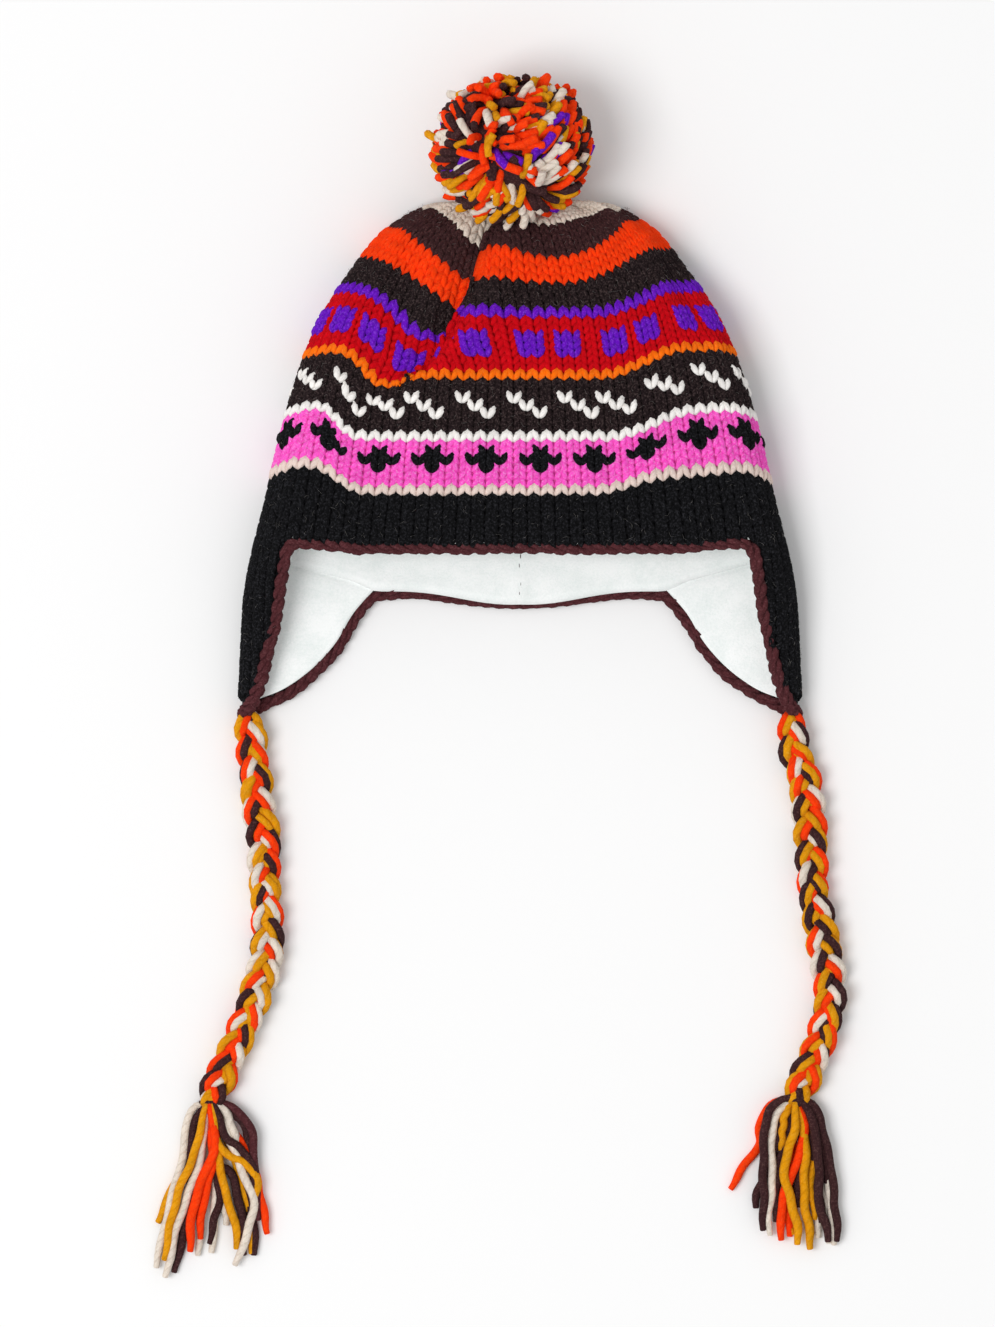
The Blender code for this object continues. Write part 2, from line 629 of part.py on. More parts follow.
def build_pompom(crown, material, collection):
    """Make the ball of yarn ends: a round core with a blunt tuft drawn out of each face."""
    sizes = Vector(POMPOM_SQUASH) * POMPOM_RADIUS
    centre = Vector((POMPOM_SHIFT, RIM_Y + CROWN_HEIGHT - POMPOM_SINK + sizes.y,
                     sizes.z + SEAM_GAP))
    tree = surface_tree(crown)
    shuffle = random.Random(7)
    body = bmesh.new()
    bmesh.ops.create_icosphere(body, subdivisions=2, radius=1.0)
    cores = [free_reach(tree, centre, [vertex.co], POMPOM_CORE * squash(vertex.co))
             for vertex in body.verts]
    for vertex, core in zip(body.verts, cores):
        vertex.co = vertex.co.normalized() * (core - TUFT_SPACING)
    for face in body.faces[:]:
        middle = face.calc_center_median()
        corners = [vertex.co.normalized() for vertex in face.verts] + [middle.normalized()]
        longest = POMPOM_RADIUS * squash(corners[-1]) * shuffle.uniform(0.94, 1.0)
        end = free_reach(tree, centre, corners, longest)
        bmesh.ops.inset_individual(body, faces=[face], thickness=TUFT_SPACING)
        if end < middle.length + 2 * TUFT_SPACING:
            continue
        tuft = bmesh.ops.extrude_discrete_faces(body, faces=[face])["faces"][0]
        lean = Vector([shuffle.uniform(-1, 1) for _ in range(3)]) * TUFT_SPACING
        heart = tuft.calc_center_median()
        for vertex in tuft.verts:
            vertex.co = middle.normalized() * end + lean + (vertex.co - heart) * TUFT_TAPER
    bmesh.ops.translate(body, verts=body.verts, vec=centre)
    seat(body, crown, tree)
    lowest = min(vertex.co.z for vertex in body.verts)
    bmesh.ops.translate(body, verts=body.verts, vec=(0.0, 0.0, max(0.0, SEAM_GAP - lowest)))
    return new_object("pompom", body, material, collection, smooth_angle=35.0)


def lock_mesh(start, aim, spread, length, layer, bend):
    """Return a tapered, blunt lock of yarn as a closed loft that lies down on the surface."""
    body = bmesh.new()
    side = Vector((-aim.y, aim.x, 0.0))
    rings = []
    drop = TASSEL_KNOT + BRAID_LIFT
    for f in LOCK_STATIONS:
        radius = 0.5 * TASSEL_LOCK * (LOCK_END if f in (0.0, 1.0) else 1.0)
        low = radius + BRAID_LIFT + layer * TASSEL_LOCK * LOCK_LAYER * (1 - LOCK_SINK * f)
        settle = min(1.0, f / LOCK_SETTLED)
        height = drop + (low - drop) * settle * settle * (3 - 2 * settle)
        sway = math.sin(spread) * f ** 0.75 + bend * math.sin(f * math.pi * 1.5)
        centre = start + aim * (f * length * math.cos(spread)) + side * (sway * length)
        centre = Vector((centre.x, centre.y, height))
        ring = []
        for k in range(LOCK_SIDES):
            angle = 2 * math.pi * k / LOCK_SIDES + math.pi / 2
            ring.append(body.verts.new(centre + side * (radius * math.cos(angle))
                                       + Vector((0, 0, radius * math.sin(angle)))))
        rings.append(ring)
    for first, second in zip(rings, rings[1:]):
        for k in range(LOCK_SIDES):
            after = (k + 1) % LOCK_SIDES
            body.faces.new((first[k], first[after], second[after], second[k]))
    body.faces.new(rings[0])
    body.faces.new(rings[-1])
    bmesh.ops.recalc_face_normals(body, faces=body.faces[:])
    return body


def build_tassel(name, line, aim, locks, material, collection, cutters):
    """Make a tassel at a braid's end: a knot with its locks of yarn fused to it."""
    direction = Vector((aim[0], aim[1], 0.0)).normalized()
    braid_end = Vector(line[-1] - line[-2]).normalized()
    knot_centre = Vector((line[-1][0], line[-1][1], TASSEL_KNOT + BRAID_LIFT))
    knot_centre += braid_end * (TASSEL_KNOT + SEAM_GAP)
    body = bmesh.new()
    bmesh.ops.create_uvsphere(body, u_segments=12, v_segments=8, radius=TASSEL_KNOT)
    bmesh.ops.translate(body, verts=body.verts, vec=knot_centre)
    tassel = new_object(name, body, material, collection)
    start = knot_centre + direction * (0.1 * TASSEL_KNOT)
    for spread, share, layer, bend in locks:
        lock = lock_mesh(start, direction, math.radians(spread), TASSEL_LENGTH * share, layer, bend)
        cutter = new_object(f"{name}_lock", lock, material, cutters)
        cutter.hide_render = True
        cutter.display_type = "WIRE"
        fuse = tassel.modifiers.new("fuse", "BOOLEAN")
        fuse.operation = "UNION"
        fuse.solver = "EXACT"
        fuse.object = cutter
    return tassel


def main():
    clear_scene()
    collection = bpy.data.collections.new("ear_flap_hat")
    cutters = bpy.data.collections.new("cutters")
    bpy.context.scene.collection.children.link(collection)
    bpy.context.scene.collection.children.link(cutters)
    knit = fabric("wool_knit", (0.19, 0.012, 0.02), 0.95)
    black_knit = fabric("black_wool_knit", (0.008, 0.008, 0.01), 0.95)
    fleece = fabric("white_fleece", (0.83, 0.85, 0.85), 0.9)
    crochet = fabric("maroon_crochet", (0.07, 0.02, 0.022), 0.95)
    mixed = fabric("mixed_wool_yarn", (0.75, 0.14, 0.02), 0.95)
    mustard = fabric("braided_wool_yarn", (0.62, 0.27, 0.02), 0.95)

    form = HatForm()
    opening = Opening(form)
    crown = build_crown(form, opening, knit, collection)
    build_crown_lining(form, opening, fleece, collection)
    lining_depth = KNIT_WALL + SEAM_GAP
    for side, label in ((-1, "left"), (1, "right")):
        build_flap(f"ear_flap_{label}", form, opening, side, 0.0, KNIT_WALL, black_knit, collection)
        build_flap(f"lining_flap_{label}", form, opening, side, lining_depth, FLEECE_WALL,
                   fleece, collection)
    edging = edging_line(form, opening)
    tube("edging", edging, EDGING_DIAMETER, True, 1, crochet, collection)
    build_pompom(crown, mixed, collection)
    height = 0.5 * BRAID_DIAMETER + BRAID_LIFT
    ties = (("left", -1, LEFT_ROUTE, LEFT_TASSEL_AIM, LEFT_LOCKS),
            ("right", 1, RIGHT_ROUTE, RIGHT_TASSEL_AIM, RIGHT_LOCKS))
    for label, side, route, aim, locks in ties:
        line = smooth_route((flap_tip(edging, side),) + route, height, BRAID_POINTS)
        tube(f"braid_{label}", line, BRAID_DIAMETER, False, 2, mustard, collection)
        build_tassel(f"tassel_{label}", line, aim, locks, mixed, collection, cutters)


main()
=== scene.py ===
"""Looks of the knitted ear-flap hat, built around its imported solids.

The hat lies on its back: +Z is up, +Y points to the pompom, and all lengths are in metres.
"""

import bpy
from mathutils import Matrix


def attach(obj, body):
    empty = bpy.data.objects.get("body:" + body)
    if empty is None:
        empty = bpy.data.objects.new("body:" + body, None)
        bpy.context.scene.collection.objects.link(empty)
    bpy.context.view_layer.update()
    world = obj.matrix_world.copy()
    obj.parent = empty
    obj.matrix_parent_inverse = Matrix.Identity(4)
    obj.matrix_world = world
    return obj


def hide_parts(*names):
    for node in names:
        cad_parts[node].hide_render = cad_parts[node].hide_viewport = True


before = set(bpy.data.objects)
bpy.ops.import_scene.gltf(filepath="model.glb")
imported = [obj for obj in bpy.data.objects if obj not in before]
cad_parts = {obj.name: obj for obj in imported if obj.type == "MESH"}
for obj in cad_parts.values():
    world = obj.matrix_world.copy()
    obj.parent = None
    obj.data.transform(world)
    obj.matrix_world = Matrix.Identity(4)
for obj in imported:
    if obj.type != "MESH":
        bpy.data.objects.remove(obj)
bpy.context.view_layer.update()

import logging
import math
from dataclasses import dataclass, field
from enum import Enum
from typing import Callable, Sequence

import bpy
import bmesh
import numpy as np
from mathutils import Vector

Array = np.ndarray
Log = logging.getLogger("hat")

MIX_FACTOR, MIX_A, MIX_B, MIX_RESULT = 0, 6, 7, 2  # colour sockets of a mix node
PHOTO_HEIGHT_SPAN = 0.690    # height of the floor that the camera sees
VIEW_CENTRE = (-0.0117, -0.1392)


# Colours and wool


def linear(code: str) -> tuple[float, float, float]:
    """Turn an sRGB hex colour into linear values.

    Args:
        code: Six hex digits.

    Returns:
        Linear red, green and blue.
    """
    parts = [int(code[i:i + 2], 16) / 255.0 for i in (0, 2, 4)]
    return tuple(p / 12.92 if p <= 0.04045 else ((p + 0.055) / 1.055) ** 2.4 for p in parts)


def add_node(tree: bpy.types.NodeTree, kind: str, links: dict | None = None,
             values: dict | None = None, **settings: object) -> bpy.types.Node:
    """Add a shader node with its settings, values and incoming links.

    Args:
        tree: The material's node tree.
        kind: The node's type name.
        links: Input name or number to the socket that feeds it.
        values: Input name or number to its constant.
        settings: Properties of the node itself.

    Returns:
        The new node.
    """
    node = tree.nodes.new(kind)
    for name, value in settings.items():
        setattr(node, name, value)
    for name, value in (values or {}).items():
        node.inputs[name].default_value = value
    for name, socket in (links or {}).items():
        tree.links.new(socket, node.inputs[name])
    return node


def new_material(name: str, values: dict) -> tuple[bpy.types.Material, bpy.types.Node]:
    """Make a material whose shader has the given constants.

    Args:
        name: The material's name.
        values: Input name to its constant.

    Returns:
        The material and its shader.
    """
    material = bpy.data.materials.new(name)
    material.use_nodes = True
    shader = material.node_tree.nodes["Principled BSDF"]
    for socket, value in values.items():
        shader.inputs[socket].default_value = value
    return material, shader


def add_noise(tree: bpy.types.NodeTree, place: bpy.types.NodeSocket, scale: float,
              detail: float, roughness: float = 0.5) -> bpy.types.NodeSocket:
    """Return soft noise over a place, its scale in waves for each metre."""
    node = add_node(tree, "ShaderNodeTexNoise", {"Vector": place},
                    {"Scale": scale, "Detail": detail, "Roughness": roughness})
    return node.outputs["Fac"]


def add_range(tree: bpy.types.NodeTree, value: bpy.types.NodeSocket, start: float, end: float,
              low: float, high: float) -> bpy.types.NodeSocket:
    """Return a value spread from low to high between its start and its end."""
    node = add_node(tree, "ShaderNodeMapRange", {"Value": value},
                    {"From Min": start, "From Max": end, "To Min": low, "To Max": high})
    return node.outputs["Result"]


def add_mix(tree: bpy.types.NodeTree, factor: bpy.types.NodeSocket,
            low: bpy.types.NodeSocket | str, high: str) -> bpy.types.NodeSocket:
    """Return a colour mixed from a low one, a hex colour or a socket, to a high one."""
    links = {MIX_FACTOR: factor}
    values = {MIX_B: (*linear(high), 1.0)}
    if isinstance(low, str):
        values[MIX_A] = (*linear(low), 1.0)
    else:
        links[MIX_A] = low
    return add_node(tree, "ShaderNodeMix", links, values, data_type="RGBA").outputs[MIX_RESULT]


def add_bump(tree: bpy.types.NodeTree, height: bpy.types.NodeSocket, strength: float,
             distance: float, under: bpy.types.NodeSocket | None = None) -> bpy.types.NodeSocket:
    """Return the normal of a relief in metres, over another relief if one is given."""
    links = {"Height": height} if under is None else {"Height": height, "Normal": under}
    node = add_node(tree, "ShaderNodeBump", links, {"Strength": strength, "Distance": distance})
    return node.outputs["Normal"]


class Wool(Enum):
    """The wool colours of the hat, by the name of their finish."""

    BLACK = "black_wool"
    CHARCOAL = "charcoal_heather_wool"
    BEIGE = "beige_wool"
    PINK = "hot_pink_wool"
    WHITE = "white_wool"
    ORANGE = "orange_wool"
    CRIMSON = "crimson_wool"
    PURPLE = "purple_wool"
    VERMILION = "vermilion_wool"
    BROWN = "dark_brown_wool"
    CREAM = "cream_wool"
    MUSTARD = "mustard_wool"
    MAROON = "maroon_wool"
    LINT = "stray_grey_fibres"


@dataclass(frozen=True)
class WoolFinish:
    """Plied hand-knitting wool, worsted spun: matt, with a soft halo and visible ply twist.

    shade is the yarn in light, deep a painted shade for the hollows between its plies, heather the
    stray fibres.
    """

    name: str
    shade: str
    deep: str
    heather: str
    heather_share: float = 0.40
    sheen: float = 0.10
    plies: int = 3
    ply_pitch: float = 0.0052

    def material(self) -> bpy.types.Material:
        """Return the wool material, which reads the yarn's own UV map in metres."""
        material, shader = new_material(self.name, {
            "Roughness": 0.92, "IOR": 1.54, "Specular IOR Level": 0.10,
            "Sheen Weight": self.sheen, "Sheen Roughness": 0.45,
            "Sheen Tint": (*linear(self.heather), 1.0)})
        tree = material.node_tree
        # Ply twist: a wave that runs round and along the yarn.
        yarn = add_node(tree, "ShaderNodeUVMap", uv_map="yarn")
        split = add_node(tree, "ShaderNodeSeparateXYZ", {0: yarn.outputs["UV"]})
        round_it = add_node(tree, "ShaderNodeMath", {0: split.outputs["X"]},
                            {1: math.pi * self.plies}, operation="MULTIPLY")
        turned = add_node(tree, "ShaderNodeMath", {0: split.outputs["Y"], 2: round_it.outputs[0]},
                          {1: math.pi / self.ply_pitch},
                          operation="MULTIPLY_ADD")
        wave = add_node(tree, "ShaderNodeMath", {0: turned.outputs[0]}, operation="SINE")
        ply = add_node(tree, "ShaderNodeMath", {0: wave.outputs[0]}, operation="ABSOLUTE")
        # Fibres 0.3 mm apart in tufts of 1 mm, and slow unevenness of the dye over about 8 mm.
        place = add_node(tree, "ShaderNodeTexCoord").outputs["Object"]
        fibre = add_noise(tree, place, 2600.0, 2.0, 0.6)
        tuft = add_noise(tree, place, 950.0, 3.0, 0.75)
        dye = add_noise(tree, place, 130.0, 2.0)
        # Colour: painted shade, darker in the twist's grooves, then heathered by stray fibres.
        groove_shade = add_range(tree, ply.outputs[0], 0.0, 0.6, 0.7, 1.0)
        base = add_mix(tree, groove_shade, self.deep, self.shade)
        stray = add_range(tree, tuft, 0.50, 0.68, 0.0, self.heather_share)
        mixed = add_mix(tree, stray, base, self.heather)
        uneven = add_range(tree, dye, 0.3, 0.7, 0.90, 1.08)
        toned = add_node(tree, "ShaderNodeHueSaturation", {"Value": uneven, "Color": mixed})
        tree.links.new(toned.outputs["Color"], shader.inputs["Base Color"])
        # Relief: plies 0.2 mm deep, slubs 1.2 mm long and 0.5 mm high, fibres 0.4 mm.
        slub = add_noise(tree, place, 850.0, 2.0)
        plies = add_bump(tree, ply.outputs[0], 0.7, 0.0002)
        slubs = add_bump(tree, slub, 0.6, 0.0009, plies)
        fibres = add_bump(tree, fibre, 0.8, 0.0005, slubs)
        tree.links.new(fibres, shader.inputs["Normal"])
        return material


# Of each wool: the yarn in light, the painted shade of its ply hollows, its stray fibres; their
# share, the sheen.
WOOL_SHADES = {
    # Bulky black wool with a few pale hairs, and charcoal spun from black and grey fleece.
    Wool.BLACK: ("08080A", "020203", "4C4C52", 0.42, 0.05),
    Wool.CHARCOAL: ("1D1315", "080405", "6E5C5A", 0.50, 0.05),
    Wool.LINT: ("86827F", "5C5856", "B8B4B0", 0.3, 0.1),
    Wool.BEIGE: ("E8D2C8", "A8877A", "FBF0EA", 0.5),
    Wool.PINK: ("FF55CB", "D0148C", "FFB0EC", 0.65),
    Wool.WHITE: ("FBF7F3", "BDB0A6", "FFFFFF", 0.5),
    Wool.ORANGE: ("FF7206", "D04A00", "FFA048", 0.3),
    Wool.CRIMSON: ("CC0010", "7A0008", "E8202C", 0.35, 0.04),
    Wool.PURPLE: ("670CBE", "2E0470", "9C50EC", 0.6),
    Wool.VERMILION: ("FF3C02", "DC2400", "FF7036", 0.35, 0.04),
    Wool.BROWN: ("3A2022", "180A0B", "7A5854", 0.42, 0.06),
    Wool.CREAM: ("E6D9CA", "A08A76", "FBF3EA", 0.5),
    Wool.MUSTARD: ("E29604", "9C5C00", "F6BC48", 0.4),
    Wool.MAROON: ("50262A", "220A0C", "86565A", 0.45, 0.05),
}
_wool_materials: dict[Wool, bpy.types.Material] = {}


def wool(colour: Wool) -> bpy.types.Material:
    """Return the one material of a wool colour."""
    if colour not in _wool_materials:
        _wool_materials[colour] = WoolFinish(colour.value, *WOOL_SHADES[colour]).material()
    return _wool_materials[colour]


# Mesh tools


def turn_aside(turn: Array) -> Array:
    """Return the turn from the front middle, either way."""
    part = np.mod(turn, 1.0)
    return np.minimum(part, 1.0 - part)


def discard(item: bpy.types.Object) -> None:
    """Delete a modelled object and its mesh."""
    mesh = item.data
    bpy.data.objects.remove(item, do_unlink=True)
    bpy.data.meshes.remove(mesh)


def deselect() -> None:
    """Deselect every object, so that an operator acts on new ones only."""
    for item in bpy.context.selected_objects:
        item.select_set(False)


@dataclass
class Faces:
    """Vertices and faces gathered for one mesh, with a wool number and UVs for each face.

    quads and triangles are kept apart; uv has one pair for each corner in the same order.
    """

    points: list[Array] = field(default_factory=list)
    polygons: list[Array] = field(default_factory=list)
    corner_uvs: list[Array] = field(default_factory=list)
    colours: list[Array] = field(default_factory=list)
    count: int = 0

    def add(self, points: Array, polygons: Array, uvs: Array, colours: Array) -> None:
        """Add a block of faces that all have the same number of corners.

        Args:
            points: Places, one row each.
            polygons: Corner numbers into points, one row for each face.
            uvs: A pair for each corner of each face.
            colours: The material number of each face.
        """
        self.polygons.append(polygons + self.count)
        self.points.append(points)
        self.corner_uvs.append(uvs.reshape(-1, 2))
        self.colours.append(colours)
        self.count += len(points)

    def more(self, polygons: Array, uvs: Array, colours: Array, start: int) -> None:
        """Add faces on points that were added before, from the start number on."""
        self.polygons.append(polygons + start)
        self.corner_uvs.append(uvs.reshape(-1, 2))
        self.colours.append(colours)

    def build(self, name: str, materials: Sequence[bpy.types.Material]) -> bpy.types.Object:
        """Make the object, shaded smooth, with its UV map named yarn."""
        mesh = bpy.data.meshes.new(name)
        points = np.concatenate(self.points).astype(np.float32)
        sizes = np.concatenate([np.full(len(p), p.shape[1]) for p in self.polygons])
        corners = np.concatenate([p.ravel() for p in self.polygons]).astype(np.int32)
        mesh.vertices.add(len(points))
        mesh.vertices.foreach_set("co", points.ravel())
        mesh.loops.add(len(corners))
        mesh.loops.foreach_set("vertex_index", corners)
        mesh.polygons.add(len(sizes))
        starts = np.concatenate(([0], np.cumsum(sizes)[:-1])).astype(np.int32)
        mesh.polygons.foreach_set("loop_start", starts)
        mesh.polygons.foreach_set("material_index",
                                  np.concatenate(self.colours).astype(np.int32))
        mesh.polygons.foreach_set("use_smooth", np.ones(len(sizes), dtype=bool))
        layer = mesh.uv_layers.new(name="yarn")
        layer.data.foreach_set("uv", np.concatenate(self.corner_uvs).astype(np.float32).ravel())
        for material in materials:
            mesh.materials.append(material)
        mesh.update(calc_edges=True)
        mesh.validate()
        item = bpy.data.objects.new(name, mesh)
        bpy.context.scene.collection.objects.link(item)
        return item


@dataclass
class YarnTemplate:
    """A straight length of yarn, modelled once with operators and then bent into each copy.

    A point keeps its turn round the yarn, its share of the length and its share of the radius.
    """

    sides: int
    rings: int
    stations: Sequence[float] | None = None
    turn: Array = None
    share: Array = None
    radius: Array = None
    quads: Array = None
    tips: Array = None
    quad_turns: Array = None
    tip_turns: Array = None

    def __post_init__(self) -> None:
        """Model the template: a cylinder that is cut across into rings, with closed tips."""
        deselect()
        bpy.ops.mesh.primitive_cylinder_add(vertices=self.sides, radius=1.0, depth=1.0,
                                            end_fill_type="TRIFAN", location=(0.0, 0.0, 0.5))
        item = bpy.context.object
        bpy.ops.object.mode_set(mode="EDIT")
        body = bmesh.from_edit_mesh(item.data)
        for edge in body.edges:
            low, high = (vertex.co.z for vertex in edge.verts)
            edge.select = abs(high - low) > 0.5
        bmesh.update_edit_mesh(item.data)
        bpy.ops.mesh.subdivide(number_cuts=self.rings - 2)
        bpy.ops.object.mode_set(mode="OBJECT")
        mesh = item.data
        places = np.array([vertex.co for vertex in mesh.vertices])
        places[:, 2] += 0.5
        self.radius = np.hypot(places[:, 0], places[:, 1])
        self.turn = np.arctan2(places[:, 1], places[:, 0]) / (2 * math.pi) % 1.0
        self.share = places[:, 2]
        if self.stations is not None:
            even = np.linspace(0.0, 1.0, len(self.stations))
            self.share = np.interp(self.share, even, self.stations)
        self.quads = np.array([list(face.vertices) for face in mesh.polygons
                               if len(face.vertices) == 4])
        self.tips = np.array([list(face.vertices) for face in mesh.polygons
                              if len(face.vertices) == 3])
        self.quad_turns = self.unwrapped(self.quads)
        self.tip_turns = self.unwrapped(self.tips)
        discard(item)

    def unwrapped(self, faces: Array) -> Array:
        """Return each corner's turn, without a jump inside a face, centres set between."""
        turns = self.turn[faces].copy()
        centre = self.radius[faces] < 0.5
        rim = np.where(centre, np.nan, turns)
        first = np.nanmin(rim, axis=1, keepdims=True)
        turns = np.where(turns - first > 0.5, turns - 1.0, turns)
        middle = np.nanmean(np.where(centre, np.nan, turns), axis=1, keepdims=True)
        return np.where(centre, middle, turns)


def bend_yarns(template: YarnTemplate, gathered: Faces, path: Callable, lengths: Array,
               colours: Array) -> None:
    """Bend copies of a template along paths and add them to a mesh.

    Args:
        template: The straight yarn.
        gathered: The mesh that takes the copies.
        path: A function of shares along the yarn, one row for each copy, that returns the
            centres, two cross directions and the radius at each share.
        lengths: The real length of each copy, for its twist.
        colours: The material number of each copy.
    """
    copies = len(lengths)
    shares = np.broadcast_to(template.share, (copies, len(template.share)))
    centre, across, out, radius = path(shares)
    angle = 2 * math.pi * template.turn
    reach = (template.radius * radius)[..., None]
    points = centre + reach * (np.cos(angle)[:, None] * across + np.sin(angle)[:, None] * out)
    count = len(template.share)
    start = gathered.count
    offsets = (np.arange(copies) * count)[:, None, None]
    for kind, turns in ((template.quads, template.quad_turns),
                        (template.tips, template.tip_turns)):
        faces = (kind[None] + offsets).reshape(-1, kind.shape[1])
        u = np.broadcast_to(turns, (copies, *turns.shape))
        v = template.share[kind][None] * lengths[:, None, None]
        uvs = np.stack((u, v), axis=-1)
        if kind is template.quads:
            gathered.add(points.reshape(-1, 3), faces, uvs, np.repeat(colours, len(kind)))
        else:
            gathered.more(faces, uvs, np.repeat(colours, len(kind)), start)


def unit(vectors: Array) -> Array:
    """Return the vectors at length one."""
    return vectors / np.maximum(np.linalg.norm(vectors, axis=-1, keepdims=True), 1e-12)


def smooth_step(values: Array | float) -> Array:
    """Return a soft ramp from 0 to 1."""
    held = np.clip(values, 0.0, 1.0)
    return held * held * (3 - 2 * held)


def smooth_column(places: Sequence[float], values: Sequence[float]) -> Callable:
    """Return a smooth curve through a table's column that never overshoots its values."""
    places = np.asarray(places, dtype=float)
    values = np.asarray(values, dtype=float)
    steps = np.diff(places)
    slopes = np.diff(values, axis=0) / steps.reshape(-1, *([1] * (values.ndim - 1)))
    before, after = slopes[:-1], slopes[1:]
    total = np.where(np.abs(before + after) > 1e-12, before + after, 1.0)
    inner = np.where(before * after > 0, 2.0 * before * after / total, 0.0)
    tangents = np.concatenate((slopes[:1], inner, slopes[-1:]))

    def curve(at: Array) -> Array:
        """Return the curve's values at some places."""
        at = np.clip(np.asarray(at, dtype=float), places[0], places[-1])
        i = np.clip(np.searchsorted(places, at, side="right") - 1, 0, len(steps) - 1)
        f = (at - places[i]) / steps[i]
        width = steps[i]
        if values.ndim > 1:
            f, width = f[..., None], width[..., None]
        return ((1 + 2 * f) * (1 - f) ** 2 * values[i] + f * (1 - f) ** 2 * width * tangents[i]
                + f * f * (3 - 2 * f) * values[i + 1] - f * f * (1 - f) * width * tangents[i + 1])

    return curve


def finish_piece(piece: bpy.types.Object, slot: str, *nodes: str) -> bpy.types.Object:
    """Put a finished piece on the hat's body, in place of its solids."""
    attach(piece, "root")
    if nodes:
        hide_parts(*nodes)
    piece.data.update()
    triangles = sum(len(face.vertices) - 2 for face in piece.data.polygons)
    Log.info("%s: %d triangles", piece.name, triangles)
    return piece


# The form of the hat, from the same named sizes as its solids


@dataclass
class HatForm:
    """The smooth outer form of the hat as a flattened tube.

    A place on it has a turn, 0 at the middle of the front and 0.5 at the middle of the back,
    and an along, the distance up the front from the rim.
    """

    rim_half_width: float = 0.1385
    crown_height: float = 0.178
    lying_height: float = 0.052
    flap_drop: float = 0.0845
    rim_y: float = -0.076805
    knit_wall: float = 0.005
    crease_share: float = 0.4
    roll_share: float = 1.1
    tuck_width: float = 0.062
    tuck_bulge: float = 0.42
    tuck_valley: float = -0.55
    tuck_ridge: float = 1.05
    inner_dent: float = 0.6
    gather_folds: int = 11
    gather_depth: float = 0.016
    shoulder_share: float = 0.907  # of the crown's height, where the inner skins turn in
    pole_share: float = 0.962      # of it, where they close
    inner_slope: float = 1.3       # how fast they close lower with their depth
    form_steps: int = 200
    loop_steps: int = 240

    # along and rise up the front, then half width, top and bottom, as shares of the sizes
    CROWN = (
        (0.000, 0.000, 1.000, 0.83, 0.00), (0.120, 0.120, 0.961, 0.90, 0.00),
        (0.290, 0.290, 0.912, 0.96, 0.00), (0.470, 0.470, 0.848, 1.00, 0.00),
        (0.640, 0.640, 0.765, 1.00, 0.00), (0.820, 0.820, 0.622, 0.90, 0.00),
        (0.910, 0.910, 0.534, 0.75, 0.00), (0.950, 0.950, 0.464, 0.66, 0.00),
        (1.009, 0.980, 0.399, 0.57, 0.05), (1.074, 1.000, 0.319, 0.50, 0.12),
        (1.136, 1.003, 0.239, 0.45, 0.18), (1.210, 0.990, 0.145, 0.41, 0.24),
        (1.274, 0.972, 0.065, 0.38, 0.28), (1.312, 0.960, 0.020, 0.36, 0.31),
    )
    # drop below the rim, half width, top
    FLAP = ((0.19, 1.026, 0.74), (0.38, 1.042, 0.66), (0.55, 1.048, 0.58), (0.72, 1.053, 0.52),
            (1.00, 1.060, 0.46), (1.30, 1.060, 0.46))
    # along, x, depth of the tuck on the front
    TUCK = ((0.400, -0.530, 0.000), (0.465, -0.448, 0.020), (0.568, -0.301, 0.044),
            (0.669, -0.214, 0.052), (0.757, -0.160, 0.052), (0.868, -0.123, 0.046),
            (0.950, -0.087, 0.026), (1.040, -0.060, 0.000))
    # start along and x, end along and x, width, depth of the lesser dents
    DENTS = ((0.800, -0.440, 0.590, -0.490, 0.075, 0.022),
             (0.870, 0.570, 0.640, 0.665, 0.055, 0.026),
             (0.330, 0.100, 0.300, 0.560, 0.120, 0.012))
    GATHERS = (0.84, 1.27)
    DENT_FADE = (0.22, 0.27)

    def __post_init__(self) -> None:
        """Work out the sections once."""
        rows = [(-drop * self.flap_drop, -drop * self.flap_drop, width * self.rim_half_width,
                 top * self.lying_height, 0.0) for drop, width, top in reversed(self.FLAP)]
        rows += [(along * self.crown_height, rise * self.crown_height,
                  width * self.rim_half_width, top * self.lying_height,
                  bottom * self.lying_height) for along, rise, width, top, bottom in self.CROWN]
        columns = list(zip(*rows))
        rise, width, top, bottom = (smooth_column(columns[0], c) for c in columns[1:])
        self.lowest, self.highest = columns[0][0], columns[0][-1]
        self.alongs = np.linspace(self.lowest, self.highest, self.form_steps)
        self.y = self.rim_y + rise(self.alongs)
        self.width_at = width
        sections = [self.half_section(float(width(a)), float(top(a)), float(bottom(a)))
                    for a in self.alongs]
        self.x = np.array([x for x, _ in sections])
        self.z = np.array([z for _, z in sections])
        tuck = list(zip(*self.TUCK))
        self.tuck_x = smooth_column(tuck[0], tuck[1])
        self.tuck_depth = smooth_column(tuck[0], tuck[2])

    def half_section(self, width: float, top: float, bottom: float) -> tuple[Array, Array]:
        """Return x and z from the front middle round the right crease to the back middle."""
        crease = self.crease_share * (top - bottom)
        roll = min(self.roll_share * crease, 0.9 * width)
        dome = top - bottom - 2 * crease
        angle = np.linspace(0.0, math.pi, 4 * self.loop_steps)
        x = width * np.sin(angle)
        x[-1] = 0.0
        into_roll = np.clip((x - (width - roll)) / roll, 0.0, 1.0)
        round_side = np.sqrt(1.0 - into_roll ** 2)
        upper = bottom + crease + crease * round_side + dome * (1.0 - (x / width) ** 2)
        under = bottom + crease - crease * round_side
        z = np.where(angle <= math.pi / 2, upper, under)
        length = np.concatenate(([0.0], np.cumsum(np.hypot(np.diff(x), np.diff(z)))))
        even = np.linspace(0.0, length[-1], self.loop_steps + 1)
        return np.interp(even, length, x), np.interp(even, length, z)

